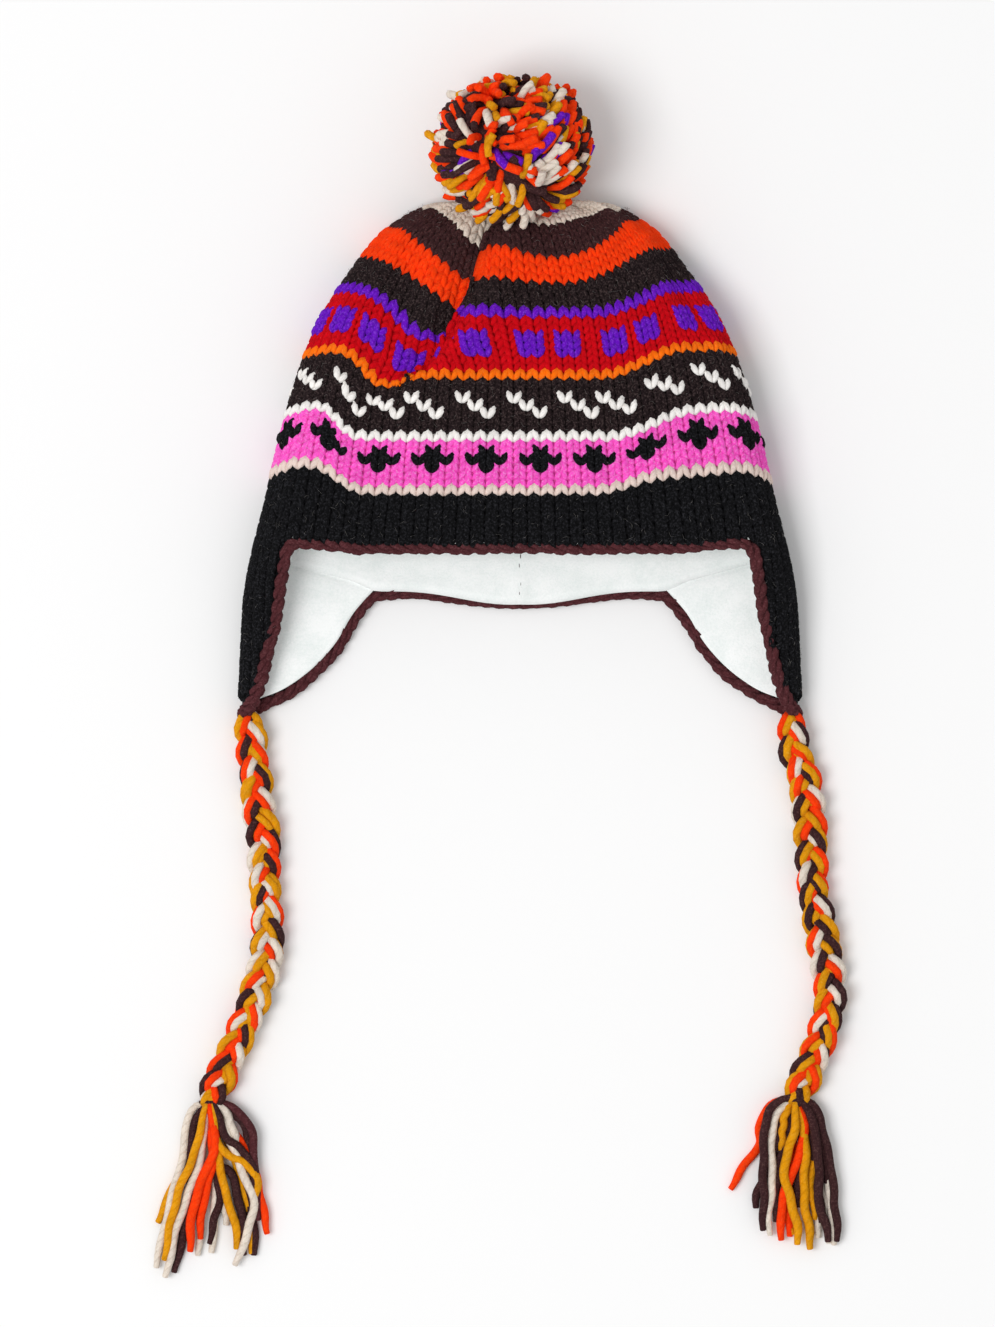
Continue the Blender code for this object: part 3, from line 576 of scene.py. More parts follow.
    def base(self, turn: Array, along: Array) -> Array:
        """Return the points of the form without its dents."""
        turn, along = np.broadcast_arrays(np.asarray(turn, float), np.asarray(along, float))
        row = np.clip(along, self.lowest, self.highest) - self.lowest
        row = row / (self.highest - self.lowest) * (self.form_steps - 1)
        i = np.clip(row.astype(int), 0, self.form_steps - 2)
        f = row - i
        part = np.mod(turn, 1.0)
        side = np.where(part <= 0.5, 1.0, -1.0)
        column = np.where(part <= 0.5, part, 1.0 - part) * 2 * self.loop_steps
        j = np.clip(column.astype(int), 0, self.loop_steps - 1)
        g = column - j

        def read(table: Array) -> Array:
            """Return a table's values between its sections and steps."""
            low = table[i, j] * (1 - g) + table[i, j + 1] * g
            high = table[i + 1, j] * (1 - g) + table[i + 1, j + 1] * g
            return low * (1 - f) + high * f

        y = self.y[i] * (1 - f) + self.y[i + 1] * f
        return np.stack((side * read(self.x), y, read(self.z)), axis=-1)

    def normal(self, turn: Array, along: Array) -> Array:
        """Return the outward directions of the form without its dents."""
        across, up = 0.004, 0.002
        around = self.base(turn + across, along) - self.base(turn - across, along)
        upward = self.base(turn, along + up) - self.base(turn, along - up)
        return unit(np.cross(around, upward))

    def dent(self, turn: Array, along: Array) -> Array:
        """Return how far the form is pushed in (negative) or out at each place."""
        point = self.base(turn, along)
        part = np.mod(turn, 1.0)
        from_front = np.minimum(part, 1.0 - part)
        full, gone = self.DENT_FADE
        front = np.clip((gone - from_front) / (gone - full), 0.0, 1.0)
        x = point[..., 0] / self.rim_half_width
        level = np.asarray(along) / self.crown_height
        depth = self.tuck_depth(level)
        beside = (x - self.tuck_x(level)) / self.tuck_width
        push = -depth * np.exp(-(beside - self.tuck_valley) ** 2)
        push = push + self.tuck_bulge * depth * np.exp(-(beside - self.tuck_ridge) ** 2)
        for start, start_x, end, end_x, width, deep in self.DENTS:
            run = np.array((end_x - start_x, end - start))
            place = ((x - start_x) * run[0] + (level - start) * run[1]) / (run @ run)
            place = np.clip(place, 0.0, 1.0)
            gap = np.hypot(x - start_x - place * run[0], level - start - place * run[1])
            push = push - deep * np.exp(-(gap / width) ** 2)
        start, end = self.GATHERS
        gathered = np.sin(np.clip((level - start) / (end - start), 0.0, 1.0) * math.pi)
        folds = 0.5 - 0.5 * np.cos(2 * math.pi * self.gather_folds * part)
        return (push * front - self.gather_depth * gathered * folds) * self.rim_half_width

    def point(self, turn: Array, along: Array, inset: float = 0.0) -> Array:
        """Return points on the outer side, or a wall's depth below it."""
        share = 1.0 if inset == 0.0 else self.inner_dent
        offset = self.dent(turn, along) * share - inset
        return self.base(turn, along) + offset[..., None] * self.normal(turn, along)

    def turn_at(self, along: float, x: float, under: bool) -> float:
        """Return the turn where the right half of a section is x wide, above or under."""
        turns = np.linspace(0.0, 0.5, 2 * self.loop_steps + 1)
        widths = self.base(turns, np.full_like(turns, along))[:, 0]
        crease = int(np.argmax(widths))
        if under:
            return float(np.interp(x, widths[crease:][::-1], turns[crease:][::-1]))
        return float(np.interp(x, widths[:crease + 1], turns[:crease + 1]))

    def close_top(self, rim: Array, depth: float,
                  scales: Sequence[float]) -> tuple[list[Array], Array]:
        """Round off the top of a skin inside the hat.

        Args:
            rim: Places round the skin's uppermost row.
            depth: How far the skin lies below the outer side.
            scales: Width of each ring, by the rim's own.

        Returns:
            The rings as more rows of the skin, and the pole that they close on.
        """
        middle = 0.5 * (rim[:, 2].max() + rim[:, 2].min())
        pole = np.array((0.0, self.rim_y + self.pole_share * self.crown_height
                         - self.inner_slope * depth, middle))
        rings = []
        for scale in scales:
            ring = pole + (rim - pole) * scale
            ring[:, 1] = rim[:, 1] + (pole[1] - rim[:, 1]) * math.sqrt(1 - scale * scale)
            rings.append(ring[:, None])
        return rings, pole


@dataclass
class Opening:
    """The edge of the opening: front rim, flap edges and back rim of the right half."""

    form: HatForm
    back_rim_drop: float = 0.345
    tip_rounding: float = 0.045
    rim_curve_start: float = 0.6
    edging_diameter: float = 0.0068
    edging_seat: float = 0.0005
    lining_depth: float = 0.0023

    # share down the flap, then drop and x of its front edge and of its back edge
    EDGES = ((0.0, -0.043, 0.892, 0.265, 0.556), (0.2, 0.212, 0.922, 0.425, 0.639),
             (0.4, 0.425, 0.939, 0.608, 0.704), (0.6, 0.638, 0.968, 0.780, 0.798),
             (0.8, 0.830, 1.004, 0.905, 0.905), (1.0, 0.965, 1.041, 0.960, 0.985))

    def __post_init__(self) -> None:
        """Work out the corners between crown and flap."""
        columns = list(zip(*self.EDGES))
        self.curves = [smooth_column(columns[0], column) for column in columns[1:]]
        self.front_corner = self.edge(0.0, under=False)
        self.back_corner = self.edge(0.0, under=True)
        self.back_middle = -self.back_rim_drop * self.form.flap_drop
        downs = np.linspace(0.0, 1.0, 33)
        self.front_line = np.array([self.edge(down, under=False) for down in downs])[::-1]
        self.back_line = np.array([self.edge(down, under=True) for down in downs])[::-1]

    def edge(self, down: float, under: bool) -> tuple[float, float]:
        """Return turn and along of a flap's front edge, or of its back edge under the hat."""
        drop, x = self.curves[2:] if under else self.curves[:2]
        along = -float(drop(down)) * self.form.flap_drop
        return self.form.turn_at(along, float(x(down)) * self.form.rim_half_width, under), along

    def crown_edge(self, turn: Array) -> Array:
        """Return along for the crown's lower edge, by the turn from the front either way."""
        part = turn_aside(turn)
        front_turn, front_along = self.front_corner
        back_turn, back_along = self.back_corner
        rising = smooth_step((part / front_turn - self.rim_curve_start)
                             / (1.0 - self.rim_curve_start))
        side = (part - front_turn) / (back_turn - front_turn)
        behind = np.sin((part - back_turn) / (0.5 - back_turn) * math.pi / 2) ** 2
        return np.where(part <= front_turn, front_along * rising,
                        np.where(part <= back_turn,
                                 front_along + (back_along - front_along) * side,
                                 back_along + (self.back_middle - back_along) * behind))

    def flap_place(self, across: float, down: float) -> tuple[float, float]:
        """Return turn and along of a place on the right flap."""
        front_turn, front_along = self.edge(down, under=False)
        back_turn, back_along = self.edge(down, under=True)
        bulge = self.tip_rounding * self.form.flap_drop * down ** 3 * math.sin(across * math.pi)
        along = front_along + (back_along - front_along) * across - bulge
        return front_turn + (back_turn - front_turn) * across, along

    def inside_flap(self, turn: Array, along: Array, margin: float) -> Array:
        """Tell which places lie on a flap, at least a margin of turn from its edges."""
        part = turn_aside(turn)
        front = np.interp(along, self.front_line[:, 1], self.front_line[:, 0])
        back = np.interp(along, self.back_line[:, 1], self.back_line[:, 0])
        above_tip = along > self.front_line[0, 1] + 0.002
        return (part > front + margin) & (part < back - margin) & above_tip

    def loop(self) -> tuple[Array, Array]:
        """Return turns and alongs round the whole opening, from the front middle."""
        front, back = self.front_corner[0], self.back_corner[0]
        shares = np.linspace(0.0, 1.0, 13)[:-1]
        places = [(s * front, float(self.crown_edge(s * front))) for s in shares]
        places += [self.edge(down, under=False) for down in np.linspace(0.0, 0.96, 11)]
        places += [self.flap_place(across, 1.0) for across in np.linspace(0.08, 0.92, 6)]
        places += [self.edge(down, under=True) for down in np.linspace(0.96, 0.0, 11)]
        places += [(back + (0.5 - back) * s, float(self.crown_edge(back + (0.5 - back) * s)))
                   for s in np.linspace(0.0, 1.0, 8)[1:]]
        places += [(1.0 - turn, along) for turn, along in reversed(places[1:-1])]
        return np.array([turn for turn, _ in places]), np.array([along for _, along in places])

    def edging_line(self) -> tuple[Array, Array]:
        """Return the centre line of the edging and the fabric's outward directions there."""
        turns, alongs = self.loop()
        middle = self.form.point(turns, alongs, 0.5 * (self.form.knit_wall + self.lining_depth))
        normals = self.form.normal(turns, alongs)
        ahead = np.roll(middle, -1, axis=0) - np.roll(middle, 1, axis=0)
        outward = unit(np.cross(ahead, normals))
        sharp = middle + outward * (0.5 * self.edging_diameter + self.edging_seat)
        line = 0.5 * sharp + 0.25 * (np.roll(sharp, 1, axis=0) + np.roll(sharp, -1, axis=0))
        pulled_in = np.maximum(0.0, np.sum((sharp - line) * outward, axis=1, keepdims=True))
        line = line + 1.3 * pulled_in * outward
        line[:, 2] = np.maximum(line[:, 2], 0.5 * self.edging_diameter + 0.0003)
        return line, normals


# Knitting


ROUND = 80  # stitches in a round of the knitting

# Columns where the figures begin, as unevenly as the hand that knitted them.
STEP_STARTS = (3, 6, 10, 14, 18, 22, 26, 30, 34, 38, 42, 46, 50, 54, 57, 61, 65, 68, 71, 75, 79)
BLOCK_STARTS = (0, 3, 7, 10, 14, 17, 21, 24, 28, 31, 35, 38, 42, 45, 49, 53, 57, 60, 63, 66, 69,
                72, 76)


class Motif(Enum):
    """Charts of the small repeats, from the top row down, one letter for each stitch."""

    CROSS = ("...", ".#.", "###", ".#.", "...", "...")
    STEPS = ("...", "...", "#..", ".#.", "..#", "...", "...")
    BLOCKS = ("..", "..", "##", "##", "##", "..", "..")


@dataclass(frozen=True)
class Band:
    """One colour band of the knitting, from the rim up."""

    name: str
    rows: int
    ground: Wool
    motif: Motif | None = None
    figure: Wool | None = None
    starts: Sequence[int] = tuple(range(0, ROUND, 4))  # columns where the figures begin

    def colour(self, column: int, row: int) -> Wool:
        """Return the wool of a stitch, its row counted up from the band's lowest."""
        if self.motif is None:
            return self.ground
        chart = self.motif.value[self.rows - 1 - row]
        place = min((column - start) % ROUND for start in self.starts)
        return self.figure if place < len(chart) and chart[place] == "#" else self.ground


BANDS = (
    Band("rim", 6, Wool.BLACK),
    Band("beige_line", 1, Wool.BEIGE),
    Band("pink", 6, Wool.PINK, Motif.CROSS, Wool.BLACK),
    Band("white_line", 1, Wool.WHITE),
    Band("charcoal", 7, Wool.CHARCOAL, Motif.STEPS, Wool.WHITE, STEP_STARTS),
    Band("orange_line", 1, Wool.ORANGE),
    Band("red", 7, Wool.CRIMSON, Motif.BLOCKS, Wool.PURPLE, BLOCK_STARTS),
    Band("purple_line", 1, Wool.PURPLE),
    Band("upper_charcoal", 3, Wool.CHARCOAL),
    Band("vermilion", 3, Wool.VERMILION),
    Band("brown", 4, Wool.BROWN),
    Band("cream", 17, Wool.CREAM),
)


@dataclass
class KnitSurface:
    """Where each stitch of the knitting lies on the hat's form.

    Columns run round the hat from the front middle to the right, rows up from the rim. The
    places are worked out on a fine grid once and read from it.
    """

    form: HatForm
    opening: Opening
    columns: int = ROUND
    rows: int = 57
    flap_rows: int = 24
    row_pitch: float = 0.0041
    cells: int = 4
    under_reach: float = 0.0045  # how far the left side's stitches show under the tuck

    # Up to each row: place up the front middle in mm, then how far the row is drawn up at the
    # left and right side in mm, and between which shares of the half width it rises.
    ROW_LINES = (
        # row, up, left, from, to, right, from, to
        (0, 0.0, 0.0, 0.60, 0.84, 0.0, 0.30, 0.60),
        (6, 24.7, 10.5, 0.62, 0.84, 8.0, 0.29, 0.60),
        (13, 52.5, 13.5, 0.68, 0.86, 12.5, 0.36, 0.74),
        (21, 84.5, 12.0, 0.60, 0.86, 13.5, 0.36, 0.76),
        (29, 116.4, 13.0, 0.45, 0.94, 14.5, 0.36, 0.92),
        (33, 134.2, 14.0, 0.38, 0.98, 20.0, 0.25, 0.98),
        (36, 147.7, 17.0, 0.30, 1.00, 22.0, 0.22, 1.00),
        (40, 164.3, 18.5, 0.30, 1.00, 17.0, 0.20, 1.00),
        (46, 189.0, 10.5, 0.30, 1.00, 9.0, 0.20, 1.00),
        (57, 233.5, 0.0, 0.30, 1.00, 0.0, 0.20, 1.00),
    )
    # Up the tuck: how far its two sides are pushed over each other, in mm, how far the rows
    # of the left side slip down, and how far those of the right side are drawn up; then, in
    # the tuck's unit of ease, how far left the slip reaches and how softly it ends there.
    TUCK_SHIFT = (
        # up, over, slip, draw, reach, fall
        (68.0, 0.0, 0.0, 0.0, 1.0, 3.0), (86.0, 0.0, 4.2, 0.0, 2.4, 3.0),
        (103.0, 6.2, 9.2, 0.5, 3.4, 4.0), (119.0, 8.5, 12.8, 1.0, 4.0, 6.0),
        (135.0, 8.5, 15.5, 2.5, 1.0, 14.0), (150.0, 8.0, 13.5, 6.0, 1.0, 14.0),
        (163.0, 7.0, 10.0, 4.0, 1.0, 14.0), (185.0, 3.0, 4.0, 1.0, 1.0, 14.0),
        (205.0, 0.0, 0.0, 0.0, 1.0, 14.0),
    )

    # Across the tuck, from the left side's fabric to the right's: how the layers part, in mm.
    FOLD_LIFT = (
        (-7.0, 0.0), (-3.0, -0.2), (-1.1, -0.4), (-0.6, 0.0), (0.0, 1.0), (0.5, 2.0),
        (0.7, 3.0), (0.95, 4.2), (1.5, 4.6), (2.4, 3.8), (4.0, 1.8), (7.0, 0.0),
    )

    def __post_init__(self) -> None:
        """Lay out the grid of places, directions and column widths."""
        self.row_curve = smooth_column([line[0] for line in self.ROW_LINES],
                                       np.array(self.ROW_LINES)[:, 1:])
        self.tuck_curve = smooth_column([line[0] for line in self.TUCK_SHIFT],
                                        np.array(self.TUCK_SHIFT)[:, 1:])
        u = np.arange(self.columns * self.cells + 1) / self.cells
        v = np.arange(-self.flap_rows * self.cells, self.rows * self.cells + 1) / self.cells
        grid_u, grid_v = np.meshgrid(u, v, indexing="ij")
        self.turn, self.along, beside, over = self.place(grid_u, grid_v)
        self.points = self.form.point(self.turn, self.along)
        self.points += self.relief(grid_u, grid_v, beside, over)
        self.hidden = self.inside_tuck(beside, over).astype(float)
        self.tucked = ((np.abs(beside) < 1.6) & (over > 0.0003)).astype(float)
        self.ending = self.tucked * (over < 0.0045)
        self.valley = np.exp(-((beside + 2.4) / 2.2) ** 2) * np.clip(over / 0.004, 0.0, 1.0)
        around = np.gradient(self.points, axis=0)
        around[0] = around[-1] = 0.5 * (around[0] + around[-1])
        upward = np.gradient(self.points, axis=1)
        self.normals = unit(np.cross(around, upward))
        self.widths = np.linalg.norm(around, axis=-1) * self.cells
        self.upward = self.form.normal(self.turn, self.along)
        self.points[-1], self.normals[-1] = self.points[0], self.normals[0]

    def place(self, u: Array, v: Array) -> tuple[Array, Array, Array, Array]:
        """Return where places of the knitting lie, with the tuck pushed over.

        Args:
            u: Columns.
            v: Rows.

        Returns:
            Turn and along, then the fabric's place beside the tuck in units of its ease, and
            how far the tuck pushes the fabric over there, in metres.
        """
        turn = u / self.columns
        part = np.mod(turn, 1.0)
        from_front = np.minimum(part, 1.0 - part)
        left = part > 0.5
        line = self.row_curve(np.clip(v, 0.0, self.rows))
        edge = self.opening.crown_edge(turn)
        near_rim = (1.0 - smooth_step(v / 40.0)) * edge
        along = 0.001 * line[..., 0] + near_rim
        behind = 1.0 - smooth_step((from_front - 0.26) / 0.2)
        for _ in range(3):
            point = self.form.base(turn, along)
            width = self.form.width_at(along)
            outward = np.abs(point[..., 0]) / width
            outward = np.where(from_front > 0.25, 1.0, outward)
            start, end = (np.where(left, line[..., a], line[..., b]) for a, b in ((2, 5), (3, 6)))
            rise = np.where(left, line[..., 1], line[..., 4])
            lift = 0.001 * rise * smooth_step((outward - start) / (end - start)) * behind
            along = 0.001 * line[..., 0] + near_rim + lift
        along = np.where(v < 0, edge + v * self.row_pitch, along)
        along = np.minimum(along, self.form.highest - 0.0005)
        # The tuck: near its line both sides slide over each other.
        point = self.form.base(turn, along)
        shift = np.moveaxis(self.tuck_curve(1000.0 * along), -1, 0)
        over, slip, draw = shift[:3] * 0.001
        tuck_x = self.form.tuck_x(along / self.form.crown_height) * self.form.rim_half_width
        beside = (point[..., 0] - tuck_x) / 0.0062
        front = smooth_step((0.24 - from_front) / 0.04)
        turned = -np.sin(0.5 * math.pi * np.clip(beside, -1.0, 1.0)) * np.exp(
            -np.maximum(0.0, np.abs(beside) - 1.0) ** 2 / 20.0)
        reach = 4.0 * self.form.width_at(along)
        turn = turn + front * over * turned / reach
        low = smooth_step((0.3 - beside) / 0.9)
        low = low * np.exp(-np.maximum(0.0, -beside - shift[3]) ** 2 / shift[4])
        high = smooth_step((beside + 0.6) / 0.9) * np.exp(-np.maximum(0.0, beside - 1) ** 2 / 8.0)
        along = along + front * (draw * high - slip * low)
        return turn, along, np.where(front > 0.0, beside, 20.0), over * front

    def inside_tuck(self, beside: Array, over: Array) -> Array:
        """Tell which places lie in the tuck or under its upper side."""
        point = self.form.base(self.turn, self.along)
        line_x = self.form.tuck_x(self.along / self.form.crown_height) * self.form.rim_half_width
        covered = (beside < 0.35) & (point[..., 0] > line_x + self.under_reach)
        between = (beside > -0.9) & (beside < 0.35)
        return (over > 0.0036) & (between | covered) & (beside > -8.0)

    def relief(self, u: Array, v: Array, beside: Array, over: Array) -> Array:
        """Return how the tuck's layers part, and the soft waves of hand knitting."""
        from_front = turn_aside(self.turn)
        table = np.array(self.FOLD_LIFT)
        parted = np.clip(over / 0.0085, 0.0, 1.0)
        layers = 0.001 * parted * np.interp(beside, table[:, 0], table[:, 1])
        waves = 0.0006 * np.sin(0.9 * u + 1.3 * np.sin(0.21 * v)) * np.sin(0.35 * v + 0.4 * u)
        level = smooth_step((0.25 - from_front) / 0.04)
        push = layers + waves * level
        return push[..., None] * self.form.normal(self.turn, self.along)

    def read(self, table: Array, u: Array, v: Array) -> Array:
        """Return a table's values between its grid points."""
        column = np.mod(u, self.columns) * self.cells
        row = np.clip((v + self.flap_rows) * self.cells, 0.0, table.shape[1] - 1.001)
        i, j = column.astype(int), row.astype(int)
        i = np.minimum(i, table.shape[0] - 2)
        f, g = column - i, row - j
        if table.ndim > 2:
            f, g = f[..., None], g[..., None]
        low = table[i, j] * (1 - f) + table[i + 1, j] * f
        high = table[i, j + 1] * (1 - f) + table[i + 1, j + 1] * f
        return low * (1 - g) + high * g


@dataclass
class Knitting:
    """The knitted fabric: every stitch as two legs of yarn over a backing of the same yarn."""

    surface: KnitSurface
    leg_rise: float = 1.64       # rows that a leg spans
    leg_lean: float = 0.45       # columns that it leans out
    tip_gap: float = 0.055
    thickness: float = 0.51      # of a leg, by the width of its column
    stitch_width: float = 0.0069
    top_row: int = 51
    depth: float = 0.00175       # of a leg's middle below the outer side
    end_depth: float = 0.0014    # that its ends lie below its middle
    backing_gap: float = 0.0007  # of the backing below the legs' middles
    proud_lift: float = 0.0008
    proud_growth: float = 0.09
    least_width: float = 0.0030  # of a column in the tuck that is knitted
    cast_on: float = -0.62       # row of the half stitches that the edging covers
    hair_length: tuple[float, float] = (0.0018, 0.0046)
    hair_radius: float = 0.00008
    clearance: float = 0.0001    # over the floor

    # from this row on, how many stitches the round has
    DECREASES = ((0, 80), (40, 56), (45, 40), (49, 28))
    HAIRS = {Wool.BLACK: 0.60, Wool.CHARCOAL: 0.80, Wool.BROWN: 0.40}  # pale hairs for each stitch
    shortest_leg: float = 0.72
    longest_leg: float = 1.18    # in the tuck, by its length elsewhere
    STATIONS = (0.0, 0.09, 0.34, 0.62, 0.86, 1.0)
    FULLNESS = ((0.0, 0.30), (0.09, 0.66), (0.34, 0.98), (0.62, 1.04), (0.86, 0.88), (1.0, 0.46))

    def __post_init__(self) -> None:
        """Model one leg and the yarn's shade numbers."""
        self.leg = YarnTemplate(sides=6, rings=len(self.STATIONS), stations=self.STATIONS)
        self.hair = YarnTemplate(sides=3, rings=3)
        self.wools = list(Wool)
        self.shuffle = np.random.default_rng(5)

    def legs(self, gathered: Faces, u: Array, v: Array, colours: Array,
             span: Array | float = 1.0, proud: Array | float = 0.0) -> None:
        """Lay two legs for each stitch, but none inside the tuck.

        Args:
            gathered: The mesh that takes them.
            u: Column middle of each stitch.
            v: Row of each stitch's tip.
            colours: Material number of each stitch.
            span: Columns that each stitch takes in.
            proud: How far each stitch stands out as one of a figure or a line, 0 to 1.
        """
        surface = self.surface
        side = np.repeat((-1.0, 1.0), len(u))[:, None]
        span = np.tile(np.broadcast_to(span, u.shape), 2)[:, None]
        proud = np.tile(np.broadcast_to(proud, u.shape), 2)[:, None]
        u, v, colours = np.tile(u, 2)[:, None], np.tile(v, 2)[:, None], np.tile(colours, 2)
        middle = u + 0.3 * side * span
        seen = (surface.read(surface.hidden, middle, v + 0.9) < 0.5)[:, 0]
        squeezed = surface.read(surface.widths, middle, v + 0.9)
        tucked = surface.read(surface.tucked, middle, v + 0.9) > 0.5
        seen &= ~(tucked & (squeezed < self.least_width))[:, 0]
        foot = surface.read(surface.points, u + self.tip_gap * side, v)
        head = surface.read(surface.points, u + self.leg_lean * side * span,
                            v + self.leg_rise)
        stretch = np.linalg.norm(head - foot, axis=-1)
        usual = math.hypot(self.leg_rise * surface.row_pitch,
                           (self.leg_lean - self.tip_gap) * self.stitch_width)
        odd = (stretch > self.longest_leg * usual) | (stretch < self.shortest_leg * usual)
        seen &= ~(tucked & odd)[:, 0]
        ending = surface.read(surface.ending, u, v + 0.5) > 0.3
        dives = surface.read(surface.hidden, u + self.leg_lean * side * span,
                             v + self.leg_rise) > 0.35
        seen &= ~(ending & dives)[:, 0]
        side, span, proud, u, v = (part[seen] for part in (side, span, proud, u, v))
        colours = colours[seen]
        wobble = self.shuffle.uniform(-1.0, 1.0, (len(u), 4, 1))
        fullness = np.array(self.FULLNESS)
        width = surface.read(surface.widths, u, v + 1.0) * span
        squeeze = np.clip(width / self.stitch_width, 0.15, 1.15)
        radius = 0.5 * self.thickness * self.stitch_width * squeeze ** 0.72
        radius = radius * (1.0 + 0.07 * wobble[:, 0] + self.proud_growth * proud)

        def place(shares: Array) -> tuple[Array, Array]:
            """Return the legs' middles and the fabric's directions at shares of a leg."""
            leaning = np.maximum(shares, 0.0) ** 0.85
            lean = self.tip_gap + (self.leg_lean + 0.015 * wobble[:, 1]) * leaning
            at_u = u + side * lean * span + 0.02 * wobble[:, 2]
            at_v = v - 0.08 + self.leg_rise * shares + 0.05 * wobble[:, 3]
            arch = 1.0 - np.abs(shares - 0.42) / 0.58
            depth = self.depth + self.end_depth * (1.0 - np.sin(0.5 * math.pi * arch))
            depth = depth - self.proud_lift * proud
            normal = surface.read(surface.normals, at_u, at_v)
            return surface.read(surface.points, at_u, at_v) - depth[..., None] * normal, normal

        def path(shares: Array) -> tuple[Array, Array, Array, Array]:
            """Return centres, cross directions and radius at shares of a leg."""
            centre, normal = place(shares)
            step = 0.02
            ahead = unit(place(shares + step)[0] - place(shares - step)[0])
            across = unit(np.cross(ahead, normal))
            out = np.cross(across, ahead)
            full = radius * np.interp(shares, fullness[:, 0], fullness[:, 1])
            # The underside is pressed flat on the floor.
            centre[..., 2] = np.maximum(centre[..., 2], full + self.clearance)
            return centre, across, out, full

        bend_yarns(self.leg, gathered, path, np.full(len(u), 0.009), colours)

    def hairs(self, gathered: Faces, places: Array, share: Array, colour: int) -> None:
        """Let fine stray hairs stand out of the dark stitches.

        Args:
            gathered: The mesh that takes them.
            places: Column middle and row of each stitch.
            share: Hairs for each stitch.
            colour: Material number of the hairs.
        """
        chosen = places[self.shuffle.random(len(places)) < share]
        count = len(chosen)
        if count == 0:
            return
        surface = self.surface
        u = chosen[:, 0] + self.shuffle.uniform(-0.5, 0.5, count)
        v = chosen[:, 1] + self.shuffle.uniform(0.2, 1.2, count)
        inside = surface.read(surface.hidden, u, v) < 0.5
        u, v, count = u[inside], v[inside], int(inside.sum())
        root, normal = surface.read(surface.points, u, v), surface.read(surface.normals, u, v)
        lie = self.shuffle.normal(size=(count, 3))
        lie = unit(lie - np.sum(lie * normal, axis=1, keepdims=True) * normal)
        length = self.shuffle.uniform(*self.hair_length, count)[:, None]
        lift = self.shuffle.uniform(0.0, 0.0014, count)[:, None]
        share_along = np.linspace(0.0, 1.0, 5)
        curl = unit(np.cross(normal, lie)) * length * self.shuffle.uniform(-0.3, 0.3, (count, 1))
        lines = (root[:, None] - 0.0006 * normal[:, None]
                 + share_along[:, None] * (lie * length)[:, None]
                 + (np.sin(math.pi * share_along)[:, None] * (normal * lift + curl)[:, None]))
        lines[..., 2] = np.maximum(lines[..., 2], self.hair_radius + self.clearance)
        lay_yarns(self.hair, gathered, lines, np.full(count, self.hair_radius),
                  np.full(count, colour), normal, blunt=0.5)

    def band(self, name: str, first: int, last: int) -> bpy.types.Object:
        """Knit the stitches of some bands as one piece."""
        columns = self.surface.columns
        used: list[Wool] = []
        stitches = []
        row = 0
        for number, band in enumerate(BANDS):
            for step in range(band.rows):
                if first <= number <= last and row < self.top_row:
                    count = min(count for start, count in self.DECREASES if row >= start)
                    span = columns / count
                    for column in np.arange(count) * span:
                        colour = band.colour(int(column), step)
                        if colour not in used:
                            used.append(colour)
                        proud = 1.0 if colour is band.figure else 0.5 * (band.rows == 1)
                        place = (column + 0.5 * span, float(row), used.index(colour), span,
                                 proud)
                        stitches.append(place)
                        if row == 0:
                            stitches.append((place[0], self.cast_on, *place[2:]))
                row += 1
        table = np.array(stitches)
        gathered = Faces()
        self.legs(gathered, table[:, 0], table[:, 1], table[:, 2].astype(int), table[:, 3],
                  table[:, 4])
        share = np.array([self.HAIRS.get(colour, 0.0) for colour in used])
        self.hairs(gathered, table[:, :2], share[table[:, 2].astype(int)], len(used))
        piece = gathered.build(name, [wool(colour) for colour in (*used, Wool.LINT)])
        return finish_piece(piece, "wool_knit", "crown")

    def flap(self, side: int, label: str) -> bpy.types.Object:
        """Knit the stitches of one ear flap, rows down from the rim."""
        surface = self.surface
        u, v = np.meshgrid(np.arange(surface.columns) + 0.5,
                           -np.arange(1.0, surface.flap_rows), indexing="ij")
        u, v = u.ravel(), v.ravel()
        turn = surface.read(surface.turn, u, v + 0.9)
        along = surface.read(surface.along, u, v + 0.9)
        inside = surface.opening.inside_flap(turn, along, -0.15 / surface.columns)
        inside &= (np.mod(turn, 1.0) < 0.5) == (side > 0)
        gathered = Faces()
        self.legs(gathered, u[inside], v[inside], np.zeros(int(inside.sum()), dtype=int))
        self.hairs(gathered, np.stack((u[inside], v[inside]), axis=1),
                   np.full(int(inside.sum()), self.HAIRS[Wool.BLACK]), 1)
        piece = gathered.build(f"knit_flap_{label}", [wool(Wool.BLACK), wool(Wool.LINT)])
        return finish_piece(piece, "black_wool_knit", f"ear_flap_{label}")

    def ground(self) -> bpy.types.Object:
        """Make the backing of the crown: a closed wall coloured stitch by stitch."""
        surface, form = self.surface, self.surface.form
        used: list[Wool] = []
        shades = []
        for band in BANDS:
            for step in range(band.rows):
                row = []
                for column in range(surface.columns):
                    colour = band.colour(column, step)
                    if colour not in used:
                        used.append(colour)
                    row.append(used.index(colour))
                shades.append(row)
        shades = np.array(shades)
        per = 2
        u = np.arange(surface.columns * per) / per
        v = np.arange((surface.rows - 1) * per + 1) / per
        grid_u, grid_v = np.meshgrid(u, v, indexing="ij")
        sunk = self.depth + self.backing_gap
        outer = surface.read(surface.points, grid_u, grid_v)
        sunk = sunk - 0.0008 * surface.read(surface.valley, grid_u, grid_v)[..., None]
